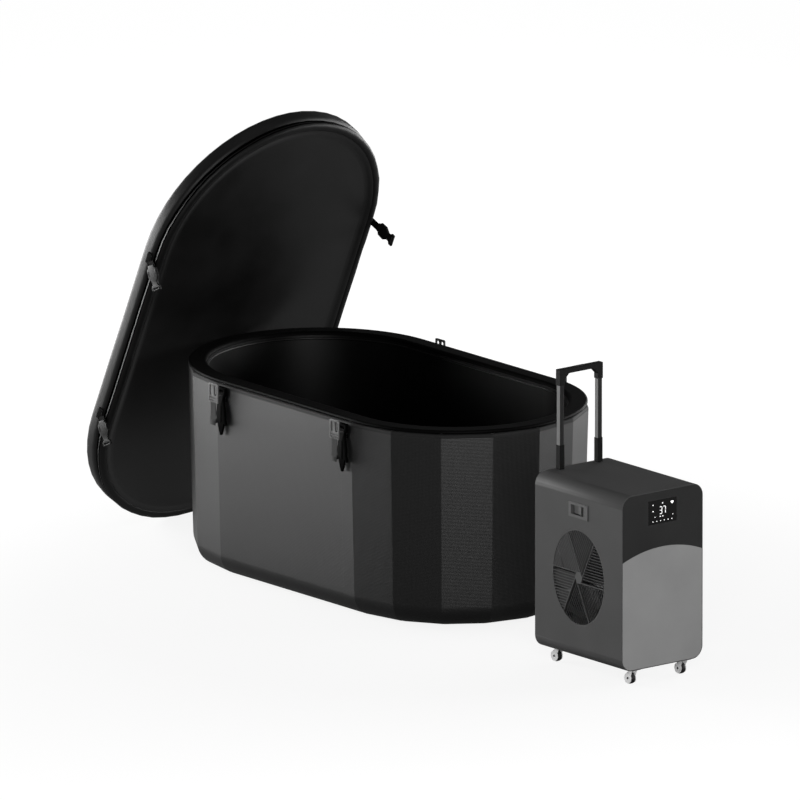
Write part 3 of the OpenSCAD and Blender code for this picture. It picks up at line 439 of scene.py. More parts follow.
def linear(shade):
    """An sRGB shade from 0 to 255, or three of them, as a linear colour."""
    values = shade if isinstance(shade, (tuple, list)) else (shade, shade, shade)
    out = []
    for value in values:
        c = value / 255
        out.append(c / 12.92 if c <= 0.04045 else ((c + 0.055) / 1.055) ** 2.4)
    return (*out, 1.0)


def base_material(name, rough, specular=0.5, metallic=0.0, sheen=0.0):
    """Gives a new material, its tree, its shader and its texture coordinates."""
    material = bpy.data.materials.new(name)
    material.use_nodes = True
    tree = material.node_tree
    shader = tree.nodes["Principled BSDF"]
    for socket, value in (("Roughness", rough), ("Metallic", metallic),
                          ("Specular IOR Level", specular), ("Sheen Weight", sheen)):
        shader.inputs[socket].default_value = value
    return material, tree, shader, tree.nodes.new("ShaderNodeTexCoord").outputs


def place_group(tree, name, coordinates, setting=None):
    """Places a shared group with its one setting. Gives its outputs."""
    node = add_node(tree, "Group")
    node.node_tree = shared(name)
    tree.links.new(coordinates, node.inputs["Vector"])
    if setting is not None:
        node.inputs[1].default_value = setting
    return node.outputs


def ramp(tree, factor, dark, light, start=0.3, stop=0.7):
    """Runs from one shade to another along a mask."""
    node = add_node(tree, "ValToRGB", fac=factor)
    for end, place, shade in zip(node.color_ramp.elements, (start, stop), (dark, light)):
        end.position = place
        end.color = linear(shade)
    return node.outputs["Color"]


def bump(tree, shader, height, strength, distance):
    relief = add_node(tree, "Bump", height=height, strength=strength, distance=distance)
    tree.links.new(relief.outputs["Normal"], shader.inputs["Normal"])


def spread(tree, factor, low, high, start=0.3, end=0.7):
    """Runs from one number to another along a mask."""
    node = add_node(tree, "MapRange", value=factor, from_min=start, from_max=end, to_min=low, to_max=high)
    return node.outputs["Result"]


def vary(tree, shader, mask, dark, light, rough, less, more):
    """Lets one mask vary the tone and the roughness."""
    tree.links.new(ramp(tree, mask, dark, light), shader.inputs["Base Color"])
    tree.links.new(spread(tree, mask, rough - less, rough + more), shader.inputs["Roughness"])


def coated_cloth(name, dark, light, rough, pitch, depth, specular=0.5, sheen=0.0, hem=None):
    """Woven cloth under a thin coating, its weave laid by the piece's own UV map.
    A height given as hem has the dull roughness of its binding above it."""
    material, tree, shader, places = base_material(name, rough, specular, sheen=sheen)
    uv = tree.nodes.new("ShaderNodeUVMap")
    uv.uv_map = "cloth"
    weave = place_group(tree, "twill", uv.outputs["UV"], pitch)
    grain = place_group(tree, "grain", places["Object"], CLOTH_GRAIN)
    shade = math_node(tree, "ADD", math_node(tree, "MULTIPLY", weave["Shade"], WEAVE_SHARE),
                      math_node(tree, "MULTIPLY", grain["Mottle"], 1.0 - WEAVE_SHARE))
    tree.links.new(ramp(tree, shade, dark, light, 0.2, 0.8), shader.inputs["Base Color"])
    if hem is None:
        dull = spread(tree, grain["Mottle"], rough - 0.04, rough + 0.05)
    else:
        height = add_node(tree, "SeparateXYZ", vector=places["Object"]).outputs["Z"]
        dull = spread(tree, math_node(tree, "LESS_THAN", height, hem), HEM_ROUGH, rough, 0.0, 1.0)
    tree.links.new(dull, shader.inputs["Roughness"])
    fine = math_node(tree, "MULTIPLY", grain["Height"], GRAIN_SHARE)
    bump(tree, shader, math_node(tree, "ADD", weave["Height"], fine), CLOTH_RELIEF, depth)
    return material


def moulded(name, dark, light, rough, scale=900.0, depth=0.00006, specular=0.5):
    """Moulded plastic, rubber or powder coat with a fine grain."""
    material, tree, shader, places = base_material(name, rough, specular)
    grain = place_group(tree, "grain", places["Object"], scale)
    vary(tree, shader, grain["Mottle"], dark, light, rough, 0.03, 0.04)
    bump(tree, shader, grain["Height"], MOULDED_RELIEF, depth)
    return material


def place_brush_lines(tree, shader, places, stretch):
    """Lays brush lines in the shader's relief, and gives their streaks."""
    lines = place_group(tree, "brushed", places["Object"], stretch)
    bump(tree, shader, lines["Height"], BRUSH_RELIEF, BRUSH_DEPTH)
    return lines["Streak"]


def brushed(name, dark, light, rough, stretch=BRUSH_STRETCH):
    material, tree, shader, places = base_material(name, rough, metallic=1.0)
    streak = place_brush_lines(tree, shader, places, stretch)
    vary(tree, shader, streak, dark, light, rough, 0.06, 0.08)
    return material


def painted_facing_shade(name, axis, limit, others, along, rough):
    """Painted part with painted shade: one tone on the faces square to an axis, another on the rest."""
    material, tree, shader, places = base_material(name, rough, specular=0.3)
    streak = place_brush_lines(tree, shader, places, BRUSH_STRETCH)
    tree.links.new(spread(tree, streak, rough - 0.06, rough + 0.08), shader.inputs["Roughness"])
    facing = add_node(tree, "SeparateXYZ", vector=places["Normal"]).outputs[axis]
    # Painted shade: the faces square to the axis and the rest get lit and shaded tones of one finish.
    side = math_node(tree, "GREATER_THAN", math_node(tree, "ABSOLUTE", facing), limit)
    both = add_node(tree, "Mix")
    both.data_type = "RGBA"
    tree.links.new(side, both.inputs[0])
    # A colour mix has its two colours in sockets 6 and 7, and puts out socket 2.
    for index, (dark, light) in ((6, others), (7, along)):
        tree.links.new(ramp(tree, streak, dark, light), both.inputs[index])
    tree.links.new(both.outputs[2], shader.inputs["Base Color"])
    return material


def glowing(name, shade, strength):
    """Lamps behind a mask, of one shade with paler spots."""
    material, tree, shader, places = base_material(name, 0.4)
    spots = ramp(tree, place_group(tree, "grain", places["Object"])["Mottle"], shade, 255)
    for socket in ("Base Color", "Emission Color"):
        tree.links.new(spots, shader.inputs[socket])
    shader.inputs["Emission Strength"].default_value = strength
    return material


# Each finish: its maker and its name. Cloth and moulded parts go on with the darkest and lightest
# shade, the roughness, the weave's pitch or the grain's scale, the depth of the relief and the
# specular level. Cloth may end with its sheen and the height of its hem.
FINISHES = {
    "wrap": (coated_cloth, "Tub wrap cloth", 7, 13, 0.45, 0.009, 0.0009, 0.55, 0.0, WALL_TOP - HEM_H),
    "lid": (coated_cloth, "Lid cover cloth", 19, 28, 0.46, 0.012, 0.0003, 0.28),
    "patch": (coated_cloth, "Patch cloth", 4, 7, 0.8, 0.003, 0.0002, 0.03),
    "web_dark": (coated_cloth, "Black webbing", 6, 11, 0.8, 0.003, 0.0003, 0.08),
    "seam": (moulded, "Seam cord", 3, 6, 0.8, 600.0, 0.0001, 0.0),
    "webbing": (coated_cloth, "Woven webbing", 38, 54, 0.75, 0.003, 0.0003, 0.2, 0.1),
    "underside": (moulded, "Lid underside sheet", 6, 12, 0.38, 260.0, 0.0001, 0.5),
    "liner": (moulded, "Welded liner sheet", 4, 8, 0.40, 240.0, 0.0001, 0.3),
    "rim": (moulded, "Rim band vinyl", 3, 6, 0.55, 420.0, 0.00008, 0.05),
    "roll": (moulded, "Edge roll vinyl", 12, 20, 0.46, 420.0, 0.0001, 0.2),
    "foam": (moulded, "Closed cell foam", 205, 222, 0.9, 500.0, 0.0003, 0.2),
    "base": (moulded, "Ribbed base rubber", 14, 24, 0.85, 300.0, 0.0003, 0.3),
    "plastic": (moulded, "Black moulded plastic", 14, 24, 0.45),
    "nut": (moulded, "Grey moulded plastic", 50, 62, 0.5),
    "lever": (moulded, "Red lever plastic", (140, 16, 14), (165, 24, 20), 0.4),
    "buckle": (moulded, "Buckle plastic", 18, 28, 0.5, 900.0, 0.00006, 0.2),
    "buckle_dark": (moulded, "Black buckle plastic", 3, 5, 0.6, 900.0, 0.00006, 0.02),
    "rocker": (moulded, "Grey rocker plastic", 58, 70, 0.4),
    "buckle_light": (moulded, "Grey buckle plastic", 74, 90, 0.5, 900.0, 0.00006, 0.3),
    "case": (moulded, "Powder coated case", 77, 82, 0.55, 1400.0, 0.00003, 0.15),
    "case_dark": (moulded, "Dark powder coat", 24, 30, 0.45, 1400.0, 0.00003),
    "front_dark": (moulded, "Upper front panel", 35, 39, 0.45, 1400.0, 0.00002, 0.25),
    "front_light": (moulded, "Lower front panel", 146, 152, 0.42, 1400.0, 0.00002),
    # The grille's faces not square to Y carry painted shade, darker than its lit faces square to Y.
    "grille": (painted_facing_shade, "Grille plastic", "Y", 0.9, (46, 56), (70, 82), 0.5),
    "bezel": (moulded, "Bezel plastic", 76, 86, 0.42),
    "steel": (brushed, "Bare steel", 120, 150, 0.4),
    "fins": (brushed, "Condenser fins", 150, 190, 0.35, (900.0, 6.0, 6.0)),
    # The handle tube's faces square to X carry painted shade, dark beside its lit faces.
    "tube": (painted_facing_shade, "Painted handle tube", "X", 0.6, (104, 124), (10, 16), 0.42),
    "tube_dark": (moulded, "Dark handle tube", 6, 10, 0.5, 900.0, 0.00003, 0.1),
    "button": (moulded, "Grip button plastic", 36, 46, 0.4),
    "grip": (moulded, "Grip rubber", 6, 10, 0.6, 700.0, 0.0001, 0.15),
    "glass": (moulded, "Display glass", 2, 4, 0.08, 200.0, 0.00001, 0.6),
    "digits": (glowing, "Display light", 236, 1.0),
    "tyre": (moulded, "Castor tyre", 10, 18, 0.6, 700.0, 0.0001),
    "disc": (moulded, "White castor disc", 236, 246, 0.35),
    "stitch": (moulded, "Stitching thread", 70, 96, 0.8, 2000.0, 0.0001, 0.2),
}
MADE = {}


def finish(name):
    """Looks a finish up by name and makes it the first time."""
    if name not in MADE:
        maker, *values = FINISHES[name]
        MADE[name] = maker(*values)
    return MADE[name]


# The finish of each solid that stays in view. Those not named here are black plastic.
NODE_FINISH = {
    "base": ["base_panel"],
    "foam": ["floor_board", "wall_staves", "lid_core"],
    "liner": ["inner_liner"],
    "rim": ["rim_band"],
    "button": ["grip_button"],
    "rocker": ["breaker_rocker"],
    "nut": ["port_nuts", "control_box"],
    "lever": ["drain_lever"],
    "case": ["case_wrap"],
    "case_dark": ["back_panel", "compressor"],
    "disc": [f"castor_fork_{i}" for i in range(1, 5)],
    "front_dark": ["front_upper"],
    "front_light": ["front_lower"],
    "glass": ["display_lens"],
    "grille": ["fan_grille"],
    "bezel": ["breaker_bezel"],
    "steel": ["base_plate", "fan_motor", "handle_guides", "castor_plates"],
    "fins": ["condenser"],
    "tube_dark": ["handle_middle"],
    "tube": ["handle_upper"],
    "grip": ["handle_grip"],
}


# Solids whose sharp edges are softened.
SOFT_EDGED = ("case_wrap", "front_upper", "front_lower", "back_panel", "handle_grip", "handle_upper",
              "handle_middle", "breaker_bezel", "breaker_rocker", "fan_grille", "grip_button",
              "port_nuts", "drain_valve", "drain_lever", "power_inlet")


# The tub's cover

# Points along a straight side and a flat, and steps round a crease.
SIDE_STEPS = 12
FLAT_STEPS = 3
CREASE_STEPS = 3
# Steps round the foot, up the wall, over the shoulder and round the foot's inner face.
FOOT_STEPS = 9
WALL_STEPS = 8
SHOULDER_STEPS = 5
INNER_STEPS = 6


def lean(z):
    return WALL_LEAN * (TUB_H - z)


def facet_outline(inset, crease):
    """The tub's outline: straight sides and faceted ends with a small radius at each crease."""
    step = 180 / FACETS
    share = cos(radians(step / 2))
    reach = (CORNER_R * share - inset) / share
    corners = []
    for end in (0, 1):
        for k in range(FACETS + 1):
            angle = k * step - 90
            before = -90 if k == 0 else angle - step / 2
            after = 90 if k == FACETS else angle + step / 2
            mid, turn = (before + after) / 2, (after - before) / 2
            centre = polar(*polar(HALF_RUN, 0, reach, angle), -crease / cos(radians(turn)), mid)
            points = arc_points(*centre, crease, before, after, CREASE_STEPS)
            corners.append([(x, y) if end == 0 else (-x, -y) for x, y in points])
    loop = []
    for k, corner in enumerate(corners):
        loop += corner
        ahead = corners[(k + 1) % len(corners)][0]
        count = SIDE_STEPS if k % (FACETS + 1) == FACETS else FLAT_STEPS
        loop += between(corner[-1], ahead, count)
    return loop


def tub_ring(inset, z, crease):
    return [Vector((x, y, z)) for x, y in facet_outline(inset, crease)]


def along_path(points):
    """The distance walked to each point of a path."""
    walk = [0.0]
    for a, b in zip(points, points[1:]):
        walk.append(walk[-1] + dist(a, b))
    return walk


def make_tub_cover(sizes):
    crease = sizes.crease_radius
    foot_top, neck = BASE_T + FOOT_R, WALL_TOP - SHOULDER_R
    inner_r = FOOT_R - WRAP_T
    # Each step is a height and how far in from the leaning wall the cloth lies there.
    steps = [(BASE_T, FOOT_R)]
    for k in range(1, FOOT_STEPS + 1):
        t = radians(90 * k / FOOT_STEPS)
        steps.append((BASE_T + FOOT_R * (1 - cos(t)), FOOT_R * (1 - sin(t))))
    steps += [(foot_top + (neck - foot_top) * k / WALL_STEPS, 0.0) for k in range(1, WALL_STEPS)]
    for k in range(SHOULDER_STEPS + 1):
        t = radians(90 * k / SHOULDER_STEPS)
        steps.append((neck + SHOULDER_R * sin(t), SHOULDER_R * (1 - cos(t))))
    rings = [tub_ring(lean(z) + inset, z, crease) for z, inset in steps]
    # Turned over the wall top, down inside it and back to the foot.
    for drop in (0.001, 0.012):
        rings.append(tub_ring(lean(neck) + SHOULDER_R + WRAP_T, WALL_TOP - drop, crease))
    rings.append(tub_ring(lean(neck) + WRAP_T, WALL_TOP - 2 * SHOULDER_R, crease))
    rings.append(tub_ring(lean(foot_top) + WRAP_T, foot_top, crease))
    for k in reversed(range(INNER_STEPS)):
        t = radians(90 * k / INNER_STEPS)
        z = foot_top - inner_r * cos(t)
        rings.append(tub_ring(lean(z) + FOOT_R - inner_r * sin(t), z, crease))
    piece = loft("tub_cover", rings)
    outline = facet_outline(0.0, crease)
    walk = along_path(outline)

    def round_the_wall(at, _normal):
        nearest = min(range(len(outline)), key=lambda k: dist(outline[k], at[:2]))
        return walk[nearest], at[2]

    lay_uv(piece, round_the_wall)
    return piece


def close_seams(piece):
    """Puts the UV seam's last strip back in step, so that no face spans the whole outline."""
    layer = piece.data.uv_layers["cloth"]
    length = max(corner.uv[0] for corner in layer.data)
    for face in piece.data.polygons:
        us = [layer.data[i].uv[0] for i in face.loop_indices]
        if max(us) - min(us) > length / 2:
            for i in face.loop_indices:
                if layer.data[i].uv[0] < length / 2:
                    layer.data[i].uv[0] += length


# The lid

# Steps round each end of the lid and along each side.
ARC_STEPS = 26
LID_SIDE_STEPS = 14
# The lid's centre is closed by a flat of this radius.
CENTRE_R = 0.004
CROWN = 0.0006


def lid_matrix():
    return Matrix.Translation(LID_AT) @ Matrix.Rotation(-LID_TILT, 4, "Y")


def stadium_ring(r, z):
    points = []
    for end in (0, 1):
        points += arc_points((1 - 2 * end) * LID_RUN, 0, r, 180 * end - 90, 180 * end + 90, ARC_STEPS)
        ahead = points[0] if end else (-LID_RUN, r)
        points += between(points[-1], ahead, LID_SIDE_STEPS)
    return [Vector((x, y, z)) for x, y in points]


def ruffle(piece, amount, scale, moves):
    """Moves each vertex that moves() picks a little along its normal by a slow, fixed noise."""
    for vertex in piece.data.vertices:
        if moves(vertex.co):
            vertex.co += vertex.normal * amount * noise.noise(vertex.co * scale)


def lid_uv(at, normal):
    if abs(normal[2]) > 0.7:
        return at[0], at[1]
    side = abs(at[0]) - LID_RUN
    if side <= 0:
        return at[0], at[2]
    turn = atan2(side, abs(at[1]))
    return copysign(LID_RUN + LID_R * turn, at[0]), at[2]


def lid_loft(name, profile, close="caps", ruffles=None):
    """Carries a profile of (radius, height) points round the lid's outline."""
    piece = loft(name, [stadium_ring(r, z) for r, z in profile], close)
    if ruffles:
        ruffle(piece, *ruffles)
    lay_uv(piece, lid_uv)
    return piece


def make_lid_shell():
    edge, tuck = 0.014, 0.016
    lip_r, lining_z = LID_R - 0.020, LID_T - 0.020
    profile = [(CENTRE_R, LID_T - CROWN)]
    profile += [(r, LID_T - CROWN * (1 - r / 0.42) ** 2)
                for r in (0.05, 0.11, 0.17, 0.23, 0.29, 0.345, 0.385, 0.408)]
    profile += [polar(LID_R - edge, LID_T - edge, edge, turn) for turn in (75, 58, 40, 22, 6)]
    profile += [(LID_R, LID_T - edge - 0.004), (LID_R + 0.0004, 0.052), (LID_R, SEAM_Z + tuck + 0.004)]
    profile += [polar(LID_R - tuck, SEAM_Z + tuck, tuck, turn) for turn in (0, -25, -50, -72, -90)]
    profile += [(lip_r + 0.002, SEAM_Z + 0.0004), (lip_r, SEAM_Z + 0.002), (lip_r, lining_z),
                (CENTRE_R, lining_z)]
    return lid_loft("lid_shell", profile, ruffles=(0.0006, 5.0, lambda co: co.z > SEAM_Z + 0.01))


def make_lid_roll():
    """The padded roll sewn round the underside."""
    mid, half = LID_R - ROLL_SET - ROLL_W / 2, ROLL_W / 2
    steps, squareness = 20, 0.9
    profile = []
    for k in range(steps):
        c, s = cos(tau * k / steps), sin(tau * k / steps)
        flat = 0.9 if s > 0 else 1.0
        x = copysign(abs(c) ** squareness, c)
        z = copysign(abs(s) ** squareness, s)
        profile.append((mid + half * x, ROLL_H / 2 + ROLL_H / 2 * z * flat))
    return lid_loft("lid_roll", profile, "loop", (0.0012, 22.0, lambda co: co.z > 0.001))


def make_lid_cord():
    mid_r, mid_z, r, steps = LID_R - 0.0085, 0.0262, 0.0017, 10
    return lid_loft("lid_cord", [polar(mid_r, mid_z, r, 360 * k / steps) for k in range(steps)], "loop")


def make_lid_underside():
    inner = LID_R - ROLL_SET - ROLL_W - 0.0003
    under_roll = inner + 0.004
    profile = [(CENTRE_R, RECESS + CROWN)]
    profile += [(r, RECESS + CROWN * (1 - r / inner))
                for r in (0.05, 0.10, 0.15, 0.20, 0.25, 0.30, 0.345, 0.375)]
    profile += [(inner - 0.026, RECESS), (inner - 0.017, RECESS - 0.0012), (inner - 0.009, RECESS - 0.0034),
                (inner - 0.003, RECESS - 0.0062), (under_roll, RECESS - 0.0074),
                (under_roll, RECESS + 0.002), (CENTRE_R, RECESS + 0.002)]
    return lid_loft("lid_underside", profile, ruffles=(0.0005, 4.0, lambda co: co.z < RECESS + 0.0015))


# Straps and buckles

def strip(name, path, width, thickness):
    """Webbing along a path of (y, z) points, its width along X, with thinner selvedges."""
    rings = []
    count = len(path)
    w = width / 2
    # Each corner is a place across the width and a share of the half thickness.
    lower = [(-w, 0.4), (-w * 0.94, 1.0), (0, 1.0), (w * 0.94, 1.0), (w, 0.4)]
    for k, (y, z) in enumerate(path):
        ahead = path[min(k + 1, count - 1)]
        back = path[max(k - 1, 0)]
        dy, dz = ahead[0] - back[0], ahead[1] - back[1]
        size = hypot(dy, dz) or 1.0
        ny, nz = -dz / size * thickness / 2, dy / size * thickness / 2
        rings.append([Vector((x, y - ny * share, z - nz * share)) for x, share in lower]
                     + [Vector((x, y + ny * share, z + nz * share)) for x, share in reversed(lower)])
    piece = loft(name, rings)
    walk = along_path(path)

    def down_the_webbing(at, _normal):
        nearest = min(range(count), key=lambda k: dist(path[k], at[1:]))
        return at[0], walk[nearest]

    lay_uv(piece, down_the_webbing)
    return piece


# Stands a plate made in X and Y up in X and Z, facing -Y.
UPRIGHT = rotation(90, "X")


def stand_up(piece, *place):
    """Stands a flat plate up and moves it to its place."""
    piece.data.transform(Matrix.Translation(place) @ UPRIGHT)


BUCKLE_HALF = 0.022
BUCKLE_T = 0.008


def buckle_body(name, side, slot_half, slot_ends, length, drop=0.0):
    """Half of a buckle with its slot for the webbing. Its side is given from top to bottom, in shares
    of half the buckle's width and of its length, and so are the slot's ends."""
    edge = [(x * BUCKLE_HALF, -drop - y * length) for x, y in side]
    low, high = [-drop - y * length for y in slot_ends]
    hole = [(-slot_half, low), (slot_half, low), (slot_half, high), (-slot_half, high)]
    return plate(name, edge + [(-x, y) for x, y in reversed(edge)], BUCKLE_T, [hole], bevel=0.0016)


def tub_strap_parts():
    """The strap at its own stitch line: X across, -Y out of the wall, -Z down."""
    back, stand, length = 0.0029, 0.024, 0.154
    male = [(1, 0), (1, .16), (.6, .24), (.72, .33), (1, .58), (.92, .66), (1.2, .76), (1.14, .79),
            (.74, .74), (.5, .86), (.16, 1)]
    body = buckle_body("prong_body", male, WEB_W / 2, (.1, .06), length)
    stand_up(body, 0, -back, 0)
    rib = plate("prong_rib", rounded_outline(0.010, 0.058, 0.0045), 0.0014, bevel=0.0005)
    stand_up(rib, 0, -back - BUCKLE_T + 0.0003, -0.086)
    male_half = join("male_half", [body, rib])

    front = back + BUCKLE_T + stand
    w, h, t, rise = 1.05 * 2 * BUCKLE_HALF, 0.4 * length, 0.004, 0.016
    holes = []
    for left, low, right, top in ((-.36, -.62, -.1, -.1), (.1, -.62, .36, -.1), (-.4, -.78, .4, -.71),
                                  (-.4, -.92, .4, -.85)):
        sw, sh = (right - left) * w, (top - low) * h
        cx, cy = (left + right) / 2 * w, (low + top) / 2 * h
        holes.append([(cx + x, cy + y) for x, y in rounded_outline(sw, sh, 0.45 * min(sw, sh), 5)])
    outline = [(x, y - h / 2) for x, y in rounded_outline(w, h, 0.004)]
    frame_plate = plate("ladder_frame", outline, t, holes, bevel=0.0009)
    stand_up(frame_plate, 0, -front, rise)
    z = rise - 0.66 * h - 0.001
    bridge = strip("strap_bridge", [(-back, z), (-back - 0.009, z), (-front + 0.006, z), (-front, z)],
                   WEB_W, 0.002)
    low = rise - h
    # How far out and how far down each point of the tail hangs.
    tail_path = [(-front - out, low - down) for out, down in (
        (0.0030, -0.004), (0.0030, 0.012), (0.0034, 0.030), (0.0044, 0.050), (0.0055, 0.0705))]
    tail = strip("strap_tail", tail_path, WEB_W, 0.002)
    hem = strip("tail_hem", [(tail_path[-1][0] - 0.0014, tail_path[-1][1] + 0.016),
                             (tail_path[-1][0] - 0.0016, tail_path[-1][1] + 0.001)], WEB_W * 0.98, 0.0014)
    webbing = join("strap_webbing", [hem, bridge, tail])
    return male_half, frame_plate, webbing


def lid_strap_parts(tab):
    """A socket buckle on a length of webbing, hanging from its stitch line at zero."""
    length = 0.080
    female = [(.62, 0), (.62, .08), (1, .14), (1.06, .46), (.8, .56),
              (.55, .66), (.55, .78), (.9, .84), (.9, 1)]
    body = buckle_body("socket_body", female, 0.6 * BUCKLE_HALF, (.95, .89), length, tab)
    stand_up(body, 0, 0, 0)
    windows = []
    for s in (-1, 1):
        window = plate("side_window", rounded_outline(0.0045, 0.017, 0.002, 3), 0.0012, bevel=0.0004)
        stand_up(window, s * 0.0185, -BUCKLE_T + 0.0004, -tab - 0.30 * length)
        windows.append(window)
    socket_half = join("socket_half", [*windows, body])
    path = [(-0.001, 0.0), (-0.001, -tab * 0.35), (-0.0012, -tab * 0.7), (-0.002, -tab - 0.004)]
    return socket_half, strip("lid_webbing", path, WEB_W, 0.002)


def patch_part(h=0.046):
    """A stitched patch, its top at zero, facing -Y."""
    w, t, inset, pitch = 0.040, 0.002, 0.0035, 0.0048
    outline = [(x, y - h / 2) for x, y in rounded_outline(w, h, 0.004, 3)]
    cloth = plate("patch_cloth", outline, t, bevel=0.0006)
    stand_up(cloth, 0, 0, 0)
    lay_uv(cloth, lambda at, _normal: (at[0], at[2]))
    half = Vector((0.0016, 0.0004, 0.0003))
    middle = Vector((0, -t, 0))
    stitch = block("stitch_one", middle - half, middle + half, bevel=0.0002, segments=1)
    x1, top, low = w / 2 - inset, -inset, inset - h
    corners = [(-x1, top), (x1, top), (x1, low), (-x1, low), (-x1, top)]
    runs = []
    for a, b in zip(corners, corners[1:]):
        count = int(dist(a, b) / pitch)
        lie = Matrix.Rotation(-atan2(b[1] - a[1], b[0] - a[0]), 4, "Y")
        for k in range(count):
            f = (k + 0.5) / count
            one = copy_of(stitch, "stitch")
            at = (a[0] + (b[0] - a[0]) * f, 0, a[1] + (b[1] - a[1]) * f)
            one.data.transform(Matrix.Translation(at) @ lie)
            runs.append(one)
    discard(stitch)
    return cloth, join("patch_thread", runs)


def strap_matrix(i, base, out, z):
    """A strap's place on a long side: odd ones at the left, 1 and 2 at the front."""
    x = -STRAP_X if i % 2 == 1 else STRAP_X
    turn = rotation(0 if i < 3 else 180, "Z")
    return base @ shift(x, 0, z) @ turn @ shift(0, -out, 0)


def tub_strap_matrix(i):
    z = WALL_TOP - SHOULDER_R + 0.002
    share = cos(radians(90 / FACETS))
    return strap_matrix(i, Matrix(), (CORNER_R * share - lean(z)) / share, z)


def lid_strap_matrix(i):
    return strap_matrix(i, lid_matrix(), LID_R, SEAM_Z + 0.008)


# Chiller pieces

def front_face_matrix(out):
    """Y and Z on the display side of the case, facing +X."""
    turn = rotation(90, "Z") @ UPRIGHT
    return shift(CASE_AT.x + CASE_D / 2 + out, CASE_AT.y, CASE_AT.z) @ turn


LAMP_T = 0.0004
SEGMENTS = {3: "abcdg", 7: "abc"}


def digit_parts(number, cx):
    """One lit figure made of straight segments, as on a segment display."""
    cy, w, h, half = 0.004, 0.009, 0.022, 0.001
    places = {"a": (0, h / 2, 0), "g": (0, 0, 0), "d": (0, -h / 2, 0), "b": (w / 2, h / 4, 90),
              "c": (w / 2, -h / 4, 90)}
    parts = []
    for letter in SEGMENTS[number]:
        x, y, turn = places[letter]
        end = (w if turn == 0 else h / 2) * 0.90 / 2
        outline = [(-end, 0), (-end + half, half), (end - half, half), (end, 0),
                   (end - half, -half), (-end + half, -half)]
        one = plate("segment", outline, LAMP_T)
        lie = rotation(turn, "Z")
        one.data.transform(shift(cx + x, cy + y, 0) @ lie)
        parts.append(one)
    return parts


def make_display():
    """The lit figures and lamps, about the middle of the lens."""
    parts = digit_parts(3, -0.007) + digit_parts(7, 0.007)
    dots = [(-0.038, 0.024, .0020), (-0.038, 0.004, .0021), (0.0, 0.026, .0022), (-0.030, -0.015, .0014),
            (-0.009, -0.015, .0020), (0.001, -0.015, .0020), (0.041, -0.015, .0015)]
    dots += [(-0.038 + 0.0150 * k, -0.029, .0017) for k in range(6)]
    for x, y, r in dots:
        dot = plate("lamp", rounded_outline(2 * r, 1.5 * r, 0.7 * r, 3), LAMP_T)
        dot.data.transform(shift(x, y, 0))
        parts.append(dot)
    fan = [(0.0, -0.005)] + arc_points(0.0, -0.005, 0.010, 50, 130, 6)
    sign = plate("signal_lamp", fan, LAMP_T)
    sign.data.transform(shift(0.038, 0.023, 0))
    piece = join("display_lamps", [*parts, sign])
    piece.data.transform(shift(0, LENS_RISE, 0))
    return piece


def make_screw(name):
    """A pan head and its cross recess, standing on Z zero."""
    r = 0.0034
    head = turned_solid(name, [(AXIS_R, 0.0019), (r * 0.55, 0.0019), (r * 0.86, 0.0013), (r, 0.0004),
                               (r, -0.0006), (AXIS_R, -0.0006)], 20)
    half = Vector((r * 0.5, r * 0.11, 0.00035))
    middle = Vector((0, 0, 0.00175))
    bars = []
    for turn in (0, 90):
        bar = block("recess", middle - half, middle + half)
        bar.data.transform(rotation(turn, "Z"))
        bars.append(bar)
    return head, join(name + "_recess", bars)


def make_wheel():
    """A castor wheel about the Y axis: a tyre with rounded shoulders and two dished discs."""
    w, steps = 0.0075, 48
    # Radius, and how far out from the flank, for one half of each profile.
    tread = [(0.0128, -0.0006), (0.0150, 0.0), (0.0172, -0.0008), (WHEEL_R - 0.0002, -0.0026),
             (WHEEL_R, -0.005)]
    dish = [(0.0032, 0.0002), (0.0046, 0.0004), (0.0062, -0.0004), (0.0104, -0.0004), (0.0120, 0.0002),
            (0.0130, -0.0002)]
    parts = []
    for name, half in (("tyre", tread), ("disc", dish)):
        profile = [(r, -w - out) for r, out in half] + [(r, w + out) for r, out in reversed(half)]
        part = turned_solid(name, profile, steps)
        part.data.transform(UPRIGHT)
        parts.append(part)
    return parts


def make_axle_cap():
    return turned_solid("axle_cap", [(AXIS_R, 0.0016), (0.0022, 0.0015), (0.0034, 0.0009), (0.0038, 0.0),
                                     (0.0038, -0.0004), (AXIS_R, -0.0004)], 24)


# Settings

class TubSettings(bpy.types.PropertyGroup):
    crease_radius: bpy.props.FloatProperty(
        name="Crease radius", description="Rounding of the creases between the end facets",
        default=0.014, min=0.002, max=0.02, unit="LENGTH")
    floor_shade: bpy.props.FloatVectorProperty(
        name="Floor colour", description="Colour of the studio floor", default=(0.16, 0.16, 0.16),
        subtype="COLOR")
    light_level: bpy.props.FloatProperty(
        name="Light level", description="Strength of all the studio lamps", default=1.0, min=0.0, max=4.0)
    camera_distance: bpy.props.FloatProperty(
        name="Camera distance", description="From the camera to the middle of the set", default=113.85,
        min=5.0, max=200.0, unit="LENGTH")


class PLUNGE_OT_finishes(bpy.types.Operator):
    """Gives every solid that stays in view its finish"""
    bl_idname = "plunge.finishes"
    bl_label = "Finishes"

    def execute(self, context):
        looks = {member: name for name, members in NODE_FINISH.items() for member in members}
        for member, node in NODES.items():
            node.data.materials.clear()
            node.data.materials.append(finish(looks.get(member, "plastic")))
        for member in SOFT_EDGED:
            node = NODES[member]
            weld = node.modifiers.new("Weld", "WELD")
            weld.merge_threshold = WELD_GAP
            soften = node.modifiers.new("Bevel", "BEVEL")
            soften.width = EDGE_WIDTH
            soften.segments = 2
            soften.limit_method = "ANGLE"
            soften.angle_limit = EDGE_ANGLE
            soften.harden_normals = True
        return {"FINISHED"}


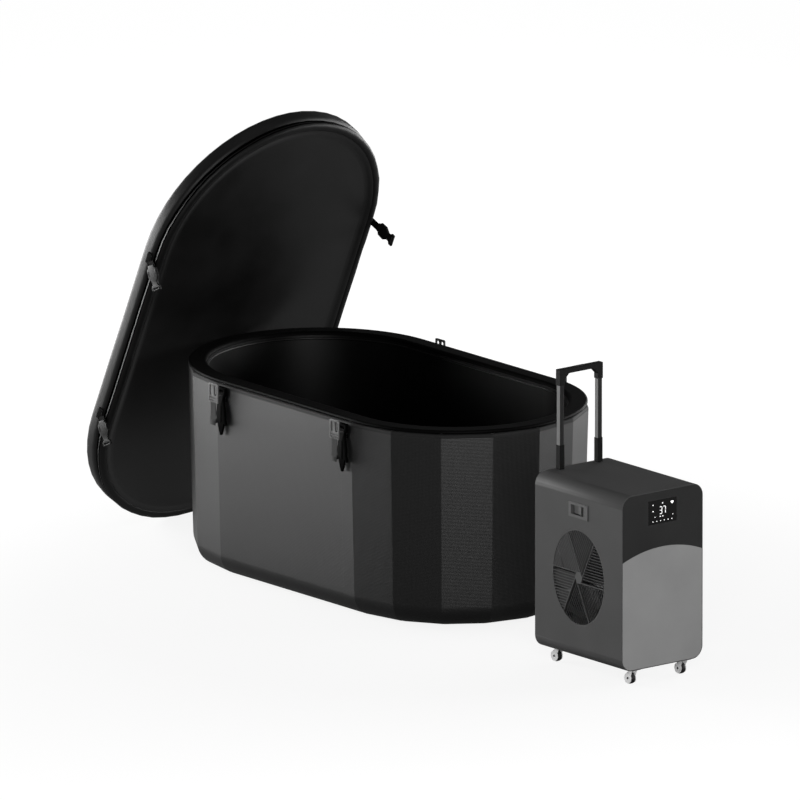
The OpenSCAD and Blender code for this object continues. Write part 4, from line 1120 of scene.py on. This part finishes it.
class PLUNGE_OT_tub_cover(bpy.types.Operator):
    """Makes the tub's fitted cloth cover with its rounded foot, facets and shoulder"""
    bl_idname = "plunge.tub_cover"
    bl_label = "Tub cover"

    def execute(self, context):
        piece = make_tub_cover(context.scene.plunge)
        close_seams(piece)
        finish_piece(piece, finish("wrap"), "tub", smooth=40, replaces=["tub_wrap"])
        weigh = piece.modifiers.new("Facets", "WEIGHTED_NORMAL")
        weigh.keep_sharp = True
        return {"FINISHED"}


class PLUNGE_OT_tub_straps(bpy.types.Operator):
    """Makes the tub's straps, ladder frames, buckles and stitched patches"""
    bl_idname = "plunge.tub_straps"
    bl_label = "Tub straps"

    def execute(self, context):
        parts = tub_strap_parts()
        looks = (("male_buckle", "buckle_dark"), ("ladder_frame", "buckle_light"),
                 ("strap_webbing", "webbing"))
        patch = patch_part()
        slope = atan(WALL_LEAN / cos(radians(90 / FACETS)))
        for i in range(1, 5):
            place = tub_strap_matrix(i)
            body = f"tub_strap_{i}"
            for part, (name, look) in zip(parts, looks):
                dress_copy(part, f"{name}_{i}", look, body, place, [body])
            lie = place @ Matrix.Rotation(slope, 4, "X") @ shift(0, -0.0003, 0)
            dress_patch(patch, "tub", i, lie, "strap_patches")
        discard(*parts, *patch)
        return {"FINISHED"}


class PLUNGE_OT_lid(bpy.types.Operator):
    """Makes the padded lid: its cover, sewn cord, edge roll and underside"""
    bl_idname = "plunge.lid"
    bl_label = "Lid"

    def execute(self, context):
        place = lid_matrix()
        for make, look, slot_name, nodes, fill in (
                (make_lid_shell, "lid", "lid_fabric", ("lid_cover", "lid_core"), 1.0),
                (make_lid_roll, "roll", "lid_fabric", ("lid_edge_roll",), 0.9),
                (make_lid_underside, "underside", "liner", ("lid_panel",), 1.0),
                (make_lid_cord, "seam", "lid_fabric", ("lid_piping",), None)):
            piece = make()
            finish_piece(piece, finish(look), "lid", place, smooth=50, replaces=nodes)
        return {"FINISHED"}


class PLUNGE_OT_lid_straps(bpy.types.Operator):
    """Makes the lid's straps with their socket buckles and patches"""
    bl_idname = "plunge.lid_straps"
    bl_label = "Lid straps"

    def execute(self, context):
        patch = patch_part(h=0.024)
        for tab, straps, angle in ((0.014, (1, 2), 43), (0.052, (3, 4), 0)):
            parts = lid_strap_parts(tab)
            for i in straps:
                place = lid_strap_matrix(i)
                hang = place @ shift(0, -0.0026, -WEB_W / 2 * sin(radians(angle))) @ rotation(angle, "Y")
                body = f"lid_strap_{i}"
                for part, name, look in zip(parts, ("socket_buckle", "lid_webbing"), ("buckle", "web_dark")):
                    dress_copy(part, f"{name}_{i}", look, body, hang, [body])
                dress_patch(patch, "lid", i, place @ shift(0, -0.0003, 0.016), "lid_patches")
            discard(*parts)
        discard(*patch)
        return {"FINISHED"}


class PLUNGE_OT_chiller(bpy.types.Operator):
    """Makes the chiller's lit display, screws and castor wheels"""
    bl_idname = "plunge.chiller"
    bl_label = "Chiller details"

    def execute(self, context):
        finish_piece(make_display(), finish("digits"), "chiller", front_face_matrix(0.0001))
        screw = make_screw("panel_screw")
        back = shift(CASE_AT.x - CASE_D / 2, CASE_AT.y, CASE_AT.z) @ rotation(-90, "Y")
        spots = [(z, y) for z in SCREW_RISES for y in (-SCREW_Y, SCREW_Y)]
        for k, (z, y) in enumerate(spots, 1):
            place = back @ shift(z, y, 0)
            for part, name, look in zip(screw, ("panel_screw", "screw_recess"), ("steel", "plastic")):
                dress_copy(part, f"{name}_{k}", look, "chiller", place)
        wheel = make_wheel()
        cap = make_axle_cap()
        for i in range(1, 5):
            x = CASE_AT.x + (FRONT_CASTOR_X if i < 3 else REAR_CASTOR_X)
            y = CASE_AT.y + (-CASTOR_Y if i % 2 == 1 else CASTOR_Y)
            place = shift(x, y, WHEEL_R)
            body = f"castor_wheel_{i}"
            for part, name in zip(wheel, ("tyre", "disc")):
                dress_copy(part, f"castor_{name}_{i}", name, body, place, [body])
            for side, end in ((-1, "front"), (1, "rear")):
                lie = place @ rotation(-90 * side, "X") @ shift(0, 0, AXLE_CAP_OUT)
                dress_copy(cap, f"axle_cap_{i}_{end}", "plastic", f"castor_fork_{i}", lie)
        discard(*screw, *wheel, cap)
        return {"FINISHED"}


# The stage

MIDDLE = Vector((0.3, 0.0, 0.45))
# Each lamp: its name, its place, its width and height, and its power in watts.
SOFTBOXES = (
    ("left_softbox", (-4.0, -2.1, 0.95), (4.4, 1.8), 310.0),
    ("back_softbox", (1.0, 4.6, 1.05), (7.5, 2.0), 320.0),
    ("front_softbox", (4.6, -2.5, 1.3), (1.5, 2.2), 100.0),
    ("top_softbox", (0.3, -0.3, 4.6), (3.6, 2.4), 8.0),
)
CAMERA_AIM = Vector((0.3, -0.194, 0.660))
CAMERA_AZIMUTH = radians(51)
CAMERA_ELEVATION = radians(14)
# The lens and the width of the picture plane, in millimetres.
CAMERA_LENS = 1650
CAMERA_FRAME = 36


def seen_background(tree, camera, mirrored):
    """How strongly the background glows for the camera, and in metal and glass."""
    ray = add_node(tree, "LightPath").outputs
    direct = math_node(tree, "MULTIPLY", ray["Is Camera Ray"], camera)
    bounced = math_node(tree, "MAXIMUM", ray["Is Glossy Ray"], ray["Is Transmission Ray"])
    return math_node(tree, "ADD", direct, math_node(tree, "MULTIPLY", bounced, mirrored))


def distance_from(tree, places, centre):
    return operate(tree, "VectorMath", "DISTANCE", (places["Object"], centre))["Value"]


def make_floor(shade):
    """A pale floor that keeps its shadow and grows brighter away from the set."""
    clear_selection()
    bpy.ops.mesh.primitive_plane_add(size=120.0, location=(MIDDLE.x, 0.0, 0.0))
    floor = named("studio_floor")
    material, tree, shader, places = base_material("Studio floor", 0.9, specular=0.0)
    shader.inputs["Base Color"].default_value = (*shade, 1.0)
    sweep = spread(tree, distance_from(tree, places, (0.0, 0.0, 0.0)), 0.86, 0.98, 1.2, 4.0)
    mirrored = spread(tree, distance_from(tree, places, (1.5, -0.1, 0.0)), 0.0, 0.20, 0.5, 3.0)
    glow = add_node(tree, "Emission", color=(1, 1, 1, 1), strength=seen_background(tree, sweep, mirrored))
    both = add_node(tree, "AddShader")
    for socket, made in zip(both.inputs, (shader, glow)):
        tree.links.new(made.outputs[0], socket)
    out = next(n for n in tree.nodes if n.type == "OUTPUT_MATERIAL")
    tree.links.new(both.outputs[0], out.inputs["Surface"])
    floor.data.materials.append(material)


def make_world(soft):
    """White to the camera, and a weak even light on all else."""
    world = bpy.data.worlds.new("Studio")
    bpy.context.scene.world = world
    world.use_nodes = True
    tree = world.node_tree
    background = tree.nodes["Background"]
    background.inputs["Color"].default_value = (1, 1, 1, 1)
    level = math_node(tree, "ADD", seen_background(tree, 1.0 - soft, 0.05), soft)
    tree.links.new(level, background.inputs["Strength"])


def make_lamps(level):
    for name, place, size, power in SOFTBOXES:
        bpy.ops.object.light_add(type="AREA", location=place)
        lamp = named(name)
        lamp.data.shape = "RECTANGLE"
        lamp.data.size, lamp.data.size_y = size
        lamp.data.energy = power * level
        lamp.rotation_euler = (MIDDLE - Vector(place)).to_track_quat("-Z", "Y").to_euler()


def make_camera(distance):
    level_out = cos(CAMERA_ELEVATION)
    away = Vector((sin(CAMERA_AZIMUTH) * level_out, -cos(CAMERA_AZIMUTH) * level_out,
                   sin(CAMERA_ELEVATION)))
    bpy.ops.object.camera_add()
    camera = named("photo_camera")
    camera.data.lens = CAMERA_LENS
    camera.data.sensor_width = CAMERA_FRAME
    camera.data.clip_end = 200
    camera.location = CAMERA_AIM + away * distance
    camera.rotation_euler = (-away).to_track_quat("-Z", "Y").to_euler()
    bpy.context.scene.camera = camera


class PLUNGE_OT_stage(bpy.types.Operator):
    """Makes the pale floor, the soft lamps and the camera"""
    bl_idname = "plunge.stage"
    bl_label = "Stage"

    def execute(self, context):
        settings = context.scene.plunge
        make_floor(settings.floor_shade)
        make_world(0.05 * settings.light_level)
        make_lamps(settings.light_level)
        make_camera(settings.camera_distance)
        context.scene.view_settings.view_transform = "Standard"
        return {"FINISHED"}


class PLUNGE_PT_panel(bpy.types.Panel):
    """Lists the steps that dress the plunge tub set"""
    bl_idname = "PLUNGE_PT_panel"
    bl_label = "Plunge Tub"
    bl_space_type = "VIEW_3D"
    bl_region_type = "UI"
    bl_category = "Plunge Tub"

    def draw(self, context):
        for name in ("crease_radius", "floor_shade", "light_level", "camera_distance"):
            self.layout.prop(context.scene.plunge, name)
        for operator in OPERATORS:
            self.layout.operator(operator.bl_idname)


OPERATORS = (PLUNGE_OT_finishes, PLUNGE_OT_tub_cover, PLUNGE_OT_tub_straps, PLUNGE_OT_lid,
             PLUNGE_OT_lid_straps, PLUNGE_OT_chiller, PLUNGE_OT_stage)
CLASSES = (TubSettings, *OPERATORS, PLUNGE_PT_panel)


def register():
    for cls in CLASSES:
        bpy.utils.register_class(cls)
    bpy.types.Scene.plunge = bpy.props.PointerProperty(type=TubSettings)


def unregister():
    del bpy.types.Scene.plunge
    for cls in reversed(CLASSES):
        bpy.utils.unregister_class(cls)


def main():
    register()
    for operator in OPERATORS:
        getattr(bpy.ops.plunge, operator.bl_idname.split(".")[1])()
    object_mode()


if __name__ == "__main__":
    main()
